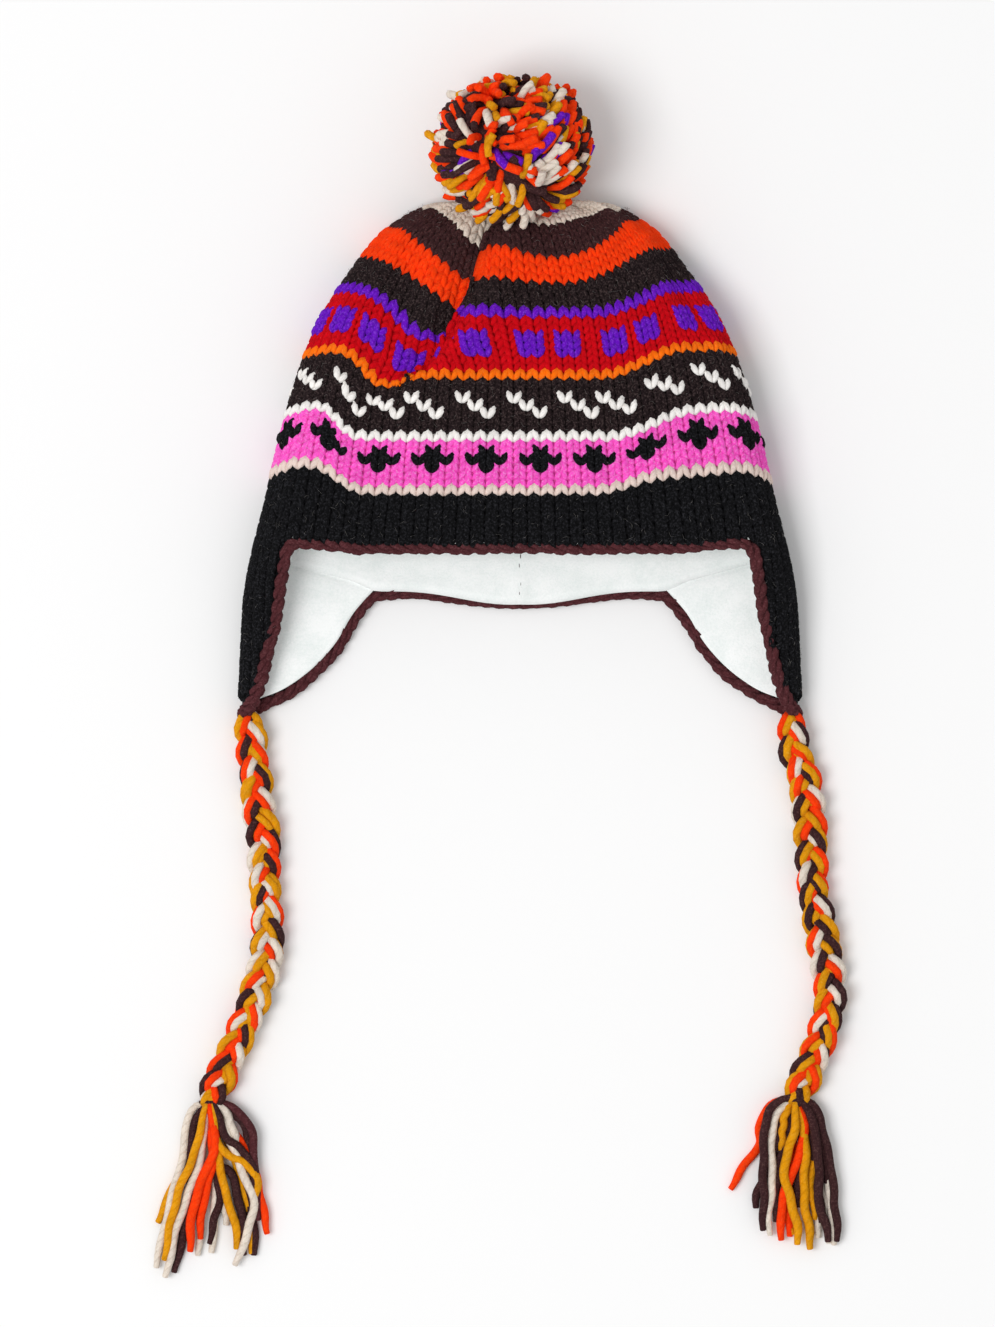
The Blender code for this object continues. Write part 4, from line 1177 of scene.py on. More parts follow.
        # Where the top is gathered in, its slope takes over from the tube's own.
        aside = np.minimum(grid_u, surface.columns - grid_u) / surface.columns
        gathered_in = smooth_step((grid_v - 36.0) / 8.0) * smooth_step((aside - 0.10) / 0.08)
        gathered_in = gathered_in[..., None]
        inward = unit(surface.read(surface.upward, grid_u, grid_v) * (1.0 - gathered_in)
                      + surface.read(surface.normals, grid_u, grid_v) * gathered_in)
        outer -= sunk * inward
        turn = u / surface.columns
        edge = surface.opening.crown_edge(turn)
        shoulder = form.shoulder_share * form.crown_height
        inner_share = np.linspace(0.0, 1.0, 25)
        alongs = edge[:, None] + (shoulder - edge[:, None]) * inner_share
        inner = form.point(turn[:, None] + 0 * alongs, alongs, form.knit_wall)
        closing, pole = form.close_top(inner[:, -1], form.knit_wall, (0.86, 0.60, 0.30))
        inner = np.concatenate([inner] + closing, axis=1)
        outer_rows = np.minimum(v[:-1].astype(int), len(shades) - 1)
        outer_colours = shades[outer_rows][:, u.astype(int)].T
        top = outer[:, -1].mean(axis=0)
        body = Faces()
        add_closed_wall(body, outer, inner, top, pole, outer_colours)
        piece = body.build("knit_backing", [wool(colour) for colour in used])
        return finish_piece(piece, "wool_knit", "crown")

    def flap_ground(self, side: int, label: str) -> bpy.types.Object:
        """Make the backing of one ear flap."""
        form, opening = self.surface.form, self.surface.opening
        downs, acrosses = np.linspace(0.0, 1.0, 25), np.linspace(-0.035, 1.02, 17)
        places = np.array([[opening.flap_place(a, d) for d in downs] for a in acrosses])
        turn, along = side * places[..., 0], places[..., 1]
        body = Faces()
        sunk = (self.depth + self.backing_gap) * form.normal(turn, along)
        add_closed_sheet(body, form.point(turn, along) - sunk,
                         form.point(turn, along, form.knit_wall), flip=side < 0)
        piece = body.build(f"knit_backing_flap_{label}", [wool(Wool.BLACK)])
        return finish_piece(piece, "black_wool_knit", f"ear_flap_{label}")

    def make(self) -> None:
        """Knit the whole hat."""
        names = [band.name for band in BANDS]
        for name, first, last in (("knit_rim", "rim", "rim"),
                                  ("knit_pink_band", "beige_line", "white_line"),
                                  ("knit_charcoal_band", "charcoal", "orange_line"),
                                  ("knit_red_band", "red", "purple_line"),
                                  ("knit_upper_bands", "upper_charcoal", "vermilion"),
                                  ("knit_brown_band", "brown", "brown"),
                                  ("knit_gathered_top", "cream", "cream")):
            self.band(name, names.index(first), names.index(last))
        self.ground()
        for side, label in ((-1, "left"), (1, "right")):
            self.flap(side, label)
            self.flap_ground(side, label)


def grid_quads(columns: int, rows: int, ring: bool) -> Array:
    """Return the faces of a grid whose points are numbered row by row within each column."""
    across = np.arange(columns if ring else columns - 1)
    up = np.arange(rows - 1)
    i, j = np.meshgrid(across, up, indexing="ij")
    after = (i + 1) % columns
    return np.stack((i * rows + j, after * rows + j, after * rows + j + 1, i * rows + j + 1),
                    axis=-1).reshape(-1, 4)


def plain_uvs(faces: Array, step: float = 0.004) -> Array:
    """Return UVs for backing faces, one small tile for each face."""
    corners = np.array(((0.0, 0.0), (1.0, 0.0), (1.0, step), (0.0, step)))[:faces.shape[1]]
    return np.broadcast_to(corners, (len(faces), *corners.shape))


def add_closed_wall(body: Faces, outer: Array, inner: Array, outer_pole: Array,
                    inner_pole: Array, outer_colours: Array) -> None:
    """Add a wall round the hat between two skins, closed at poles and joined at its edge.

    Args:
        body: The mesh that takes it.
        outer: Places by column and row.
        inner: The same for the inner skin, with as many columns.
        outer_pole: The place that closes the outer skin.
        inner_pole: The place that closes the inner skin.
        outer_colours: Material number of each outer face by column and row.
    """
    columns = len(outer)
    start = body.count
    count_out, count_in = outer.shape[1], inner.shape[1]
    points = np.concatenate((outer.reshape(-1, 3), inner.reshape(-1, 3),
                             outer_pole[None], inner_pole[None]))
    faces_out = grid_quads(columns, count_out, True)
    body.add(points, faces_out, plain_uvs(faces_out), outer_colours.reshape(-1))
    shift = columns * count_out
    faces_in = grid_quads(columns, count_in, True)[:, ::-1] + shift
    last = int(outer_colours[0, 0])
    body.more(faces_in, plain_uvs(faces_in), np.full(len(faces_in), last), start)
    i = np.arange(columns)
    after = (i + 1) % columns
    edge = np.stack((i * count_out, shift + i * count_in, shift + after * count_in,
                     after * count_out), axis=-1)
    body.more(edge, plain_uvs(edge), outer_colours[:, 0], start)
    pole = shift + columns * count_in
    tip_out = np.stack((i * count_out + count_out - 1, after * count_out + count_out - 1,
                        np.full(columns, pole)), axis=-1)
    tip_in = np.stack((shift + after * count_in + count_in - 1,
                       shift + i * count_in + count_in - 1, np.full(columns, pole + 1)), axis=-1)
    for tips in (tip_out, tip_in):
        body.more(tips, plain_uvs(tips), np.full(columns, last), start)


def add_closed_sheet(body: Faces, outer: Array, inner: Array, flip: bool) -> None:
    """Add a wall between two sheets of places, by column and row, closed at its four edges."""
    columns, rows = outer.shape[:2]
    shift = columns * rows
    top = grid_quads(columns, rows, False)
    under = top[:, ::-1] + shift
    rim = []
    loops = ([(i, 0, i + 1, 0) for i in range(columns - 1)]
             + [(columns - 1, j, columns - 1, j + 1) for j in range(rows - 1)]
             + [(i + 1, rows - 1, i, rows - 1) for i in reversed(range(columns - 1))]
             + [(0, j + 1, 0, j) for j in reversed(range(rows - 1))])
    for a, b, c, d in loops:
        first, second = a * rows + b, c * rows + d
        rim.append((second, first, first + shift, second + shift))
    faces = np.concatenate((top, under, np.array(rim)))
    if flip:
        faces = faces[:, ::-1]
    body.add(np.concatenate((outer.reshape(-1, 3), inner.reshape(-1, 3))), faces,
             plain_uvs(faces), np.zeros(len(faces), int))


# Loose yarn, laid along lines of points


def yarn_stations(rings: int, end: float) -> Array:
    """Return even shares along a yarn, with one more ring close to each end."""
    return np.concatenate(([0.0, end], np.linspace(0.0, 1.0, rings)[1:-1], [1.0 - end, 1.0]))


def lay_yarns(template: YarnTemplate, gathered: Faces, lines: Array, radii: Array,
              colours: Array, hint: Array = np.array((0.0, 0.0, 1.0)), blunt: float = 0.62,
              bulk: Callable | None = None) -> None:
    """Lay one yarn along each line of points.

    Args:
        template: The straight yarn.
        gathered: The mesh that takes the yarns.
        lines: Places by yarn and point.
        radii: Radius of each yarn.
        colours: Material number of each yarn.
        hint: A direction that no yarn runs along, one or one for each yarn.
        blunt: Radius at the cut ends, by the yarn's own.
        bulk: A function of yarn shares that swells or thins them.
    """
    steps = np.linalg.norm(np.diff(lines, axis=1), axis=2)
    lengths = steps.sum(axis=1)
    gradients = np.gradient(lines, axis=1)
    number = np.arange(len(lines))[:, None]
    last = lines.shape[1] - 1

    def path(shares: Array) -> tuple[Array, Array, Array, Array]:
        """Return centres, cross directions and radius at shares of each yarn."""
        at = np.clip(shares, 0.0, 1.0) * last
        i = np.minimum(at.astype(int), last - 1)
        f = (at - i)[..., None]
        centre = lines[number, i] * (1 - f) + lines[number, i + 1] * f
        ahead = unit(gradients[number, i] * (1 - f) + gradients[number, i + 1] * f)
        up = np.broadcast_to(hint if hint.ndim == 1 else hint[:, None], ahead.shape)
        across = unit(np.cross(ahead, up))
        out = np.cross(across, ahead)
        inside = np.minimum(shares, 1.0 - shares) > 1e-6
        radius = radii[:, None] * np.where(inside, 1.0, blunt)
        if bulk is not None:
            radius = radius * bulk(shares)
        return centre, across, out, radius

    bend_yarns(template, gathered, path, lengths, colours)


def smooth_line(points: Array, count: int, closed: bool = False) -> Array:
    """Return evenly spaced points of a smooth curve through the given ones."""
    points = np.asarray(points, dtype=float)
    if closed:
        around = np.concatenate((points[-1:], points, points[:2]))
    else:
        around = np.concatenate((2 * points[:1] - points[1:2], points,
                                 2 * points[-1:] - points[-2:-1]))
    fine = []
    for before, start, end, after in zip(around, around[1:], around[2:], around[3:]):
        f = np.linspace(0.0, 1.0, 12, endpoint=False)[:, None]
        fine.append(0.5 * (2 * start + (end - before) * f
                           + (2 * before - 5 * start + 4 * end - after) * f ** 2
                           + (3 * start - before - 3 * end + after) * f ** 3))
    fine = np.concatenate(fine + [around[-2:-1]])
    length = np.concatenate(([0.0], np.cumsum(np.linalg.norm(np.diff(fine, axis=0), axis=1))))
    even = np.linspace(0.0, length[-1], count + 1 if closed else count)
    line = np.stack([np.interp(even, length, fine[:, k]) for k in range(fine.shape[1])], axis=1)
    return line[:-1] if closed else line


def line_length(points: Array) -> float:
    """Return the length of a line of points."""
    return float(np.linalg.norm(np.diff(points, axis=0), axis=1).sum())


@dataclass
class Edging:
    """The crocheted edge: a core of maroon wool, worked over with single crochet."""

    opening: Opening
    pitch: float = 0.0064
    core_radius: float = 0.0023
    yarn_radius: float = 0.00172
    ring_radius: float = 0.0024
    seat: float = 0.0007          # that the stitches sit over the fabric's edge
    back_pull: float = 0.0009     # that the back's cord is drawn under the lining
    back_thinning: float = 0.26
    clearance: float = 0.0001     # over the floor

    def make(self) -> bpy.types.Object:
        """Crochet round the opening."""
        line, normals = self.opening.edging_line()
        both = smooth_line(np.concatenate((line, normals * 0.02), axis=1), 900, closed=True)
        centre, normal = both[:, :3], unit(both[:, 3:])
        ahead = unit(np.roll(centre, -1, axis=0) - np.roll(centre, 1, axis=0))
        side = unit(np.cross(ahead, normal))
        normal = np.cross(side, ahead)
        length = line_length(np.concatenate((centre, centre[:1])))
        stitches = int(round(length / self.pitch))
        points = len(centre)

        def at(share: Array, table: Array) -> Array:
            """Return a table's values at shares of the way round."""
            place = np.mod(share, 1.0) * points
            i = place.astype(int) % points
            f = (place - place.astype(int))[..., None]
            return table[i] * (1 - f) + table[(i + 1) % points] * f

        gathered = Faces()
        shuffle = np.random.default_rng(3)
        # At the back the cord is pulled thin and turned under the lining's edge.
        back = smooth_step((0.070 - np.abs(centre[:, 0])) / 0.022)
        back = (back * smooth_step((0.022 - centre[:, 2]) / 0.008))[:, None]
        sway = np.interp(np.arange(points), np.linspace(0, points, 61), shuffle.uniform(-1, 1, 61))
        centre = centre - self.back_pull * back * side
        centre = centre + (0.0005 * (1.0 - back)) * sway[:, None] * side
        thin = 1.0 - self.back_thinning * back
        self.core(gathered, centre, side, normal, thin)
        leg = YarnTemplate(sides=6, rings=6, stations=(0.0, 0.12, 0.38, 0.64, 0.88, 1.0))
        # start and end angle round the core from the free edge, start and end pitch
        strokes = ((170.0, 58.0, -0.85, 0.75), (76.0, 0.0, -0.75, 0.70),
                   (-76.0, 0.0, -0.75, 0.70), (-170.0, -58.0, -0.85, 0.75))
        shares = np.linspace(0.0, 1.0, 9)
        for start, end, first, last in strokes:
            number = np.arange(stitches)[:, None] + 0.16 * shuffle.uniform(-1, 1, (stitches, 1))
            angle = np.radians(start + (end - start) * shares) + 0.12 * shuffle.uniform(
                -1, 1, (stitches, 1))
            share = (number + first + (last - first) * shares) / stitches
            arch = np.sin(math.pi * np.clip(shares * 0.9 + 0.05, 0, 1))
            reach = self.ring_radius - 0.0012 * (1.0 - arch)
            here, out, up = at(share, centre), at(share, side), at(share, normal)
            slim = at(share, thin)
            here = here - self.seat * out
            lines = here + slim * reach[:, None] * (np.cos(angle)[..., None] * out
                                                    + np.sin(angle)[..., None] * up)
            hint = at(share[:, 4], side) * math.cos(math.radians(0.5 * (start + end)))
            hint = hint + at(share[:, 4], normal) * math.sin(math.radians(0.5 * (start + end)))
            radii = self.yarn_radius * (1.0 + 0.17 * shuffle.uniform(-1, 1, stitches))
            radii = radii * slim[:, 4, 0]
            # What lies on the floor is pressed flat there.
            lines[..., 2] = np.maximum(lines[..., 2], 1.1 * radii[:, None] + self.clearance)
            lay_yarns(leg, gathered, lines, radii, np.zeros(stitches, int), hint, blunt=0.35,
                      bulk=lambda s: 0.34 + 0.76 * np.sin(math.pi * np.clip(s, 0.05, 0.95)))
        self.tails(gathered, centre)
        piece = gathered.build("crochet_edging", [wool(Wool.MAROON)])
        return finish_piece(piece, "maroon_crochet", "edging")

    def tails(self, gathered: Faces, centre: Array) -> None:
        """Draw the ends of the edging together over the top of each braid."""
        lines = []
        for side in (-1, 1):
            half = centre[centre[:, 0] * side > 0.0]
            tip = half[np.argmin(half[:, 1])]
            for across, down in ((-3.6, 8.0), (-1.2, 10.0), (1.2, 10.5), (3.6, 7.5)):
                share = np.linspace(0.0, 1.0, 9)
                x = tip[0] + 0.001 * across * (1.0 - 0.35 * share)
                y = tip[1] + 0.0030 - 0.001 * (down + 3.0) * share
                top = tip[2] + 0.0028 - 0.0006 * abs(across)
                z = top + 0.0008 * np.sin(math.pi * share) - 0.0022 * share ** 3
                lines.append(np.stack((x, y, z), axis=1))
        strand = YarnTemplate(sides=8, rings=8)
        lay_yarns(strand, gathered, np.array(lines), np.full(len(lines), 0.00165),
                  np.zeros(len(lines), int), blunt=0.6)

    def core(self, gathered: Faces, centre: Array, side: Array, normal: Array,
             thin: Array) -> None:
        """Add the closed core tube."""
        angle = np.linspace(0.0, 2 * math.pi, 8, endpoint=False)[:, None, None]
        ring = (np.cos(angle) * side + np.sin(angle) * normal) * self.core_radius * thin
        points = (centre[None] + ring)[:, ::2]
        points[..., 2] = np.maximum(points[..., 2], self.clearance)
        count = points.shape[1]
        i, j = np.meshgrid(np.arange(8), np.arange(count), indexing="ij")
        i, j = i.ravel(), j.ravel()
        after_i, after_j = (i + 1) % 8, (j + 1) % count
        faces = np.stack((i * count + j, i * count + after_j, after_i * count + after_j,
                          after_i * count + j), axis=-1)
        gathered.add(points.reshape(-1, 3), faces, plain_uvs(faces), np.zeros(len(faces), int))


@dataclass(frozen=True)
class FleeceFinish:
    """Short-pile polyester fleece: white, matt, with a soft felted nap."""

    name: str = "white_polyester_fleece"
    shade: str = "FAFCFB"
    shadow: str = "EAF0EE"

    def material(self) -> bpy.types.Material:
        """Return the fleece material, on object coordinates."""
        material, shader = new_material(self.name, {
            "Roughness": 0.95, "Specular IOR Level": 0.2, "Sheen Weight": 0.5,
            "Sheen Roughness": 0.5})
        tree = material.node_tree
        place = add_node(tree, "ShaderNodeTexCoord").outputs["Object"]
        # Felted tufts about 1.2 mm across, over slow pressed waves of 15 mm.
        nap = add_noise(tree, place, 850.0, 4.0, 0.65)
        waves = add_noise(tree, place, 70.0, 2.0)
        both = add_node(tree, "ShaderNodeMath", {0: nap, 1: waves}, operation="ADD")
        light = add_range(tree, both.outputs[0], 0.7, 1.2, 0.0, 1.0)
        tree.links.new(add_mix(tree, light, self.shadow, self.shade),
                       shader.inputs["Base Color"])
        slow = add_bump(tree, waves, 0.25, 0.002)
        tree.links.new(add_bump(tree, nap, 0.6, 0.0006, slow), shader.inputs["Normal"])
        return material


@dataclass
class Lining:
    """The fleece lining of the crown and of both flaps, with its sewn seams."""

    form: HatForm
    opening: Opening
    seam_gap: float = 0.0003
    overlap: float = 0.0020      # of the flap's fleece under the crown's at their seam
    wall: float = 0.002
    seam_depth: float = 0.0009
    seam_width: float = 0.0016
    back_lap: float = 0.0021     # of the fleece over the edging at the back
    flap_lap: float = 1.022      # share across the flap that its fleece takes

    def seam(self, distance: Array) -> Array:
        """Return how deep the fleece is drawn in at a distance from a seam's line."""
        return self.seam_depth * np.exp(-(distance / self.seam_width) ** 2)

    def crown(self, fleece: bpy.types.Material) -> bpy.types.Object:
        """Make the bag inside the crown."""
        form = self.form
        columns, rows = 144, 40
        turn = np.arange(columns) / columns
        # Behind, the fleece lies a little over the edging.
        behind = smooth_step((0.52 - np.abs(turn - 0.5) - self.opening.back_corner[0]) / 0.03)
        edge = self.opening.crown_edge(turn) - behind * (
            self.back_lap + 0.0007 * np.sin(52.0 * np.abs(turn - 0.5) + 0.8))
        skins = []
        for depth, inward in ((form.knit_wall + self.seam_gap, 0.0),
                              (form.knit_wall + self.seam_gap + self.wall, 1.0)):
            shoulder = (form.shoulder_share * form.crown_height
                        - form.inner_slope * (depth - form.knit_wall))
            alongs = edge[:, None] + (shoulder - edge[:, None]) * np.linspace(0, 1, rows)
            turns = turn[:, None] + 0 * alongs
            points = form.point(turns, alongs, depth)
            normal = form.normal(turns, alongs)
            across = (turns - 0.5) * 4.0 * form.width_at(alongs)
            drawn = -self.seam(across) + 0.0004 * np.sin(70 * alongs + 3 * np.sin(25 * turns))
            points = points - inward * np.minimum(drawn, 0.0003)[..., None] * -normal
            closing, pole = form.close_top(points[:, -1], depth,
                                           (0.95, 0.86, 0.75, 0.60, 0.45, 0.30, 0.15))
            skins.append((np.concatenate([points] + closing, axis=1), pole))
        body = Faces()
        (outer, outer_pole), (inner, inner_pole) = skins
        shades = np.zeros((columns, outer.shape[1] - 1), int)
        add_closed_wall(body, outer, inner, outer_pole, inner_pole, shades)
        piece = body.build("fleece_lining_crown", [fleece])
        return finish_piece(piece, "white_fleece", "lining_crown")

    def flap(self, side: int, label: str, fleece: bpy.types.Material) -> bpy.types.Object:
        """Make the fleece inside one flap."""
        form, opening = self.form, self.opening
        downs, acrosses = np.linspace(0.0, 1.0, 41), np.linspace(0.0, self.flap_lap, 41)
        places = np.array([[opening.flap_place(a, d) for d in downs] for a in acrosses])
        turn, along = side * places[..., 0], places[..., 1] + self.overlap * (downs == 0)
        normal = form.normal(turn, along)
        outer = form.point(turn, along, form.knit_wall + self.seam_gap)
        inner = form.point(turn, along, form.knit_wall + self.seam_gap + self.wall)
        across, down = np.meshgrid(acrosses, downs, indexing="ij")
        sunk = 0.0011 * np.exp(-(down / 0.02) ** 2)
        puff = 0.0010 * np.sin(math.pi * across) * np.sin(math.pi * np.clip(down * 1.1, 0, 1))
        ridge = 0.0034 * np.exp(-((across - 0.50 - 0.12 * down) / 0.045) ** 2)
        ridge = ridge * smooth_step((down - 0.15) / 0.2) * smooth_step((0.85 - down) / 0.2)
        lift = puff - sunk + (ridge if side > 0 else 0.35 * ridge)
        inner = inner - lift[..., None] * normal
        body = Faces()
        add_closed_sheet(body, outer, inner, flip=side < 0)
        piece = body.build(f"fleece_lining_flap_{label}", [fleece])
        return finish_piece(piece, "white_fleece", f"lining_flap_{label}")

    def make(self) -> None:
        """Line the hat."""
        fleece = FleeceFinish().material()
        self.crown(fleece)
        for side, label in ((-1, "left"), (1, "right")):
            self.flap(side, label, fleece)
        self.seam_thread()

    def seam_thread(self) -> None:
        """Sew the dark thread that shows on the seam at the middle of the back."""
        form = self.form
        depth = form.knit_wall + self.seam_gap + self.wall + 0.0001
        starts = np.linspace(-0.0270, 0.0400, 15)
        lines = []
        for start in starts:
            alongs = start + np.linspace(0.0, 0.0022, 5)
            turns = np.full(5, 0.5) + 0.0006 * math.sin(900 * start)
            lines.append(form.point(turns, alongs, depth + self.seam_depth))
        lines = np.array(lines)
        thread = YarnTemplate(sides=6, rings=6)
        gathered = Faces()
        lay_yarns(thread, gathered, lines, np.full(len(lines), 0.00028),
                  np.zeros(len(lines), int), blunt=0.5)
        piece = gathered.build("seam_thread", [wool(Wool.BROWN)])
        finish_piece(piece, "white_fleece")


@dataclass
class Pompom:
    """The ball of cut yarn ends on the gathered top."""

    centre: tuple[float, float, float] = (-0.0040, 0.1274, 0.0420)
    radii: tuple[float, float, float] = (0.0444, 0.0408, 0.0413)
    core_share: float = 0.76
    yarns: int = 840
    yarn_radius: float = 0.00216
    kinship: float = 0.20         # share of ends that take their neighbour's wool

    SHARES = ((Wool.VERMILION, 0.35), (Wool.BROWN, 0.24), (Wool.MUSTARD, 0.23),
              (Wool.CREAM, 0.14), (Wool.PURPLE, 0.04))

    def make(self) -> bpy.types.Object:
        """Tie the pompom: a core, and yarns that leave it and lie over each other."""
        shuffle = np.random.default_rng(11)
        count = self.yarns
        number = np.arange(count) + 0.5
        polar = np.arccos(1 - 2 * number / count)
        around = math.pi * (1 + 5 ** 0.5) * number
        aim = np.stack((np.cos(around) * np.sin(polar), np.sin(around) * np.sin(polar),
                        np.cos(polar)), axis=1)
        aim = unit(aim + 0.035 * shuffle.normal(size=(count, 3)))
        # Neighbouring ends are swept the same way, in clumps.
        flow = np.stack((np.sin(2.1 * aim[:, 1] + 1.0) + 0.9 * aim[:, 0],
                         np.sin(2.6 * aim[:, 0] - 0.4) + 0.7,
                         np.sin(2.3 * aim[:, 1] + 2.0 * aim[:, 0]) - 0.35), axis=1)
        flow = flow + 0.32 * shuffle.normal(size=(count, 3))
        sweep = unit(flow - np.sum(flow * aim, axis=1, keepdims=True) * aim)
        length = shuffle.uniform(0.86, 1.0, count)
        straggler = shuffle.random(count) < 0.04
        length = np.where(straggler, 1.06, length)
        lean = shuffle.uniform(0.20, 0.50, count) * np.where(straggler, 0.4, 1.0)
        shares = np.linspace(0.0, 1.0, 12)
        rise = 0.45 + (1.0 - 0.45) * np.sin(0.5 * math.pi * np.minimum(shares * 1.06, 1.0))
        bend = smooth_step((shares - 0.30) / 0.70) ** 1.15
        direction = aim[:, None] + (lean[:, None] * bend)[..., None] * sweep[:, None]
        direction = unit(direction)
        reach = (rise[None] * length[:, None])[..., None]
        inner = 1.0 - self.yarn_radius / self.radii[0]
        lines = np.array(self.centre) + direction * reach * inner * np.array(self.radii)
        lines[..., 2] = np.maximum(lines[..., 2], self.yarn_radius + 0.0006)
        names = [colour for colour, _ in self.SHARES]
        colours = shuffle.choice(len(names), count, p=[share for _, share in self.SHARES])
        close = aim @ aim.T - 2.0 * np.tri(count).T
        neighbour = np.argmax(close[1:], axis=1)
        kin = shuffle.random(count) < self.kinship
        for number in range(1, count):
            if kin[number]:
                colours[number] = colours[neighbour[number - 1]]
        radii = self.yarn_radius * shuffle.uniform(0.86, 1.12, count)
        template = YarnTemplate(sides=7, rings=8,
                                stations=(0.0, 0.22, 0.44, 0.62, 0.76, 0.88, 0.965, 1.0))
        gathered = Faces()
        hint = unit(np.cross(aim, sweep))
        lay_yarns(template, gathered, lines, radii, colours, hint, blunt=0.66)
        self.core(gathered, names.index(Wool.BROWN))
        piece = gathered.build("yarn_pompom", [wool(colour) for colour in names])
        return finish_piece(piece, "mixed_wool_yarn", "pompom")

    def core(self, gathered: Faces, colour: int) -> None:
        """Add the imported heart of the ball."""
        deselect()
        bpy.ops.mesh.primitive_uv_sphere_add(segments=32, ring_count=16, radius=1.0)
        item = bpy.context.object
        points = np.array([vertex.co for vertex in item.data.vertices])
        points = np.array(self.centre) + points * np.array(self.radii) * self.core_share
        start = gathered.count
        for size in (4, 3):
            faces = np.array([list(face.vertices) for face in item.data.polygons
                              if len(face.vertices) == size])
            if size == 4:
                gathered.add(points, faces, plain_uvs(faces), np.full(len(faces), colour))
            else:
                gathered.more(faces, plain_uvs(faces), np.full(len(faces), colour), start)
        discard(item)


@dataclass(frozen=True)
class TasselYarn:
    """One loose yarn of a tassel: its wool, its layer from the floor up and its line.

    The line is in millimetres from the knot, to the right and down, every other number.
    """

    wool: Wool
    layer: int
    line: tuple[float, ...]


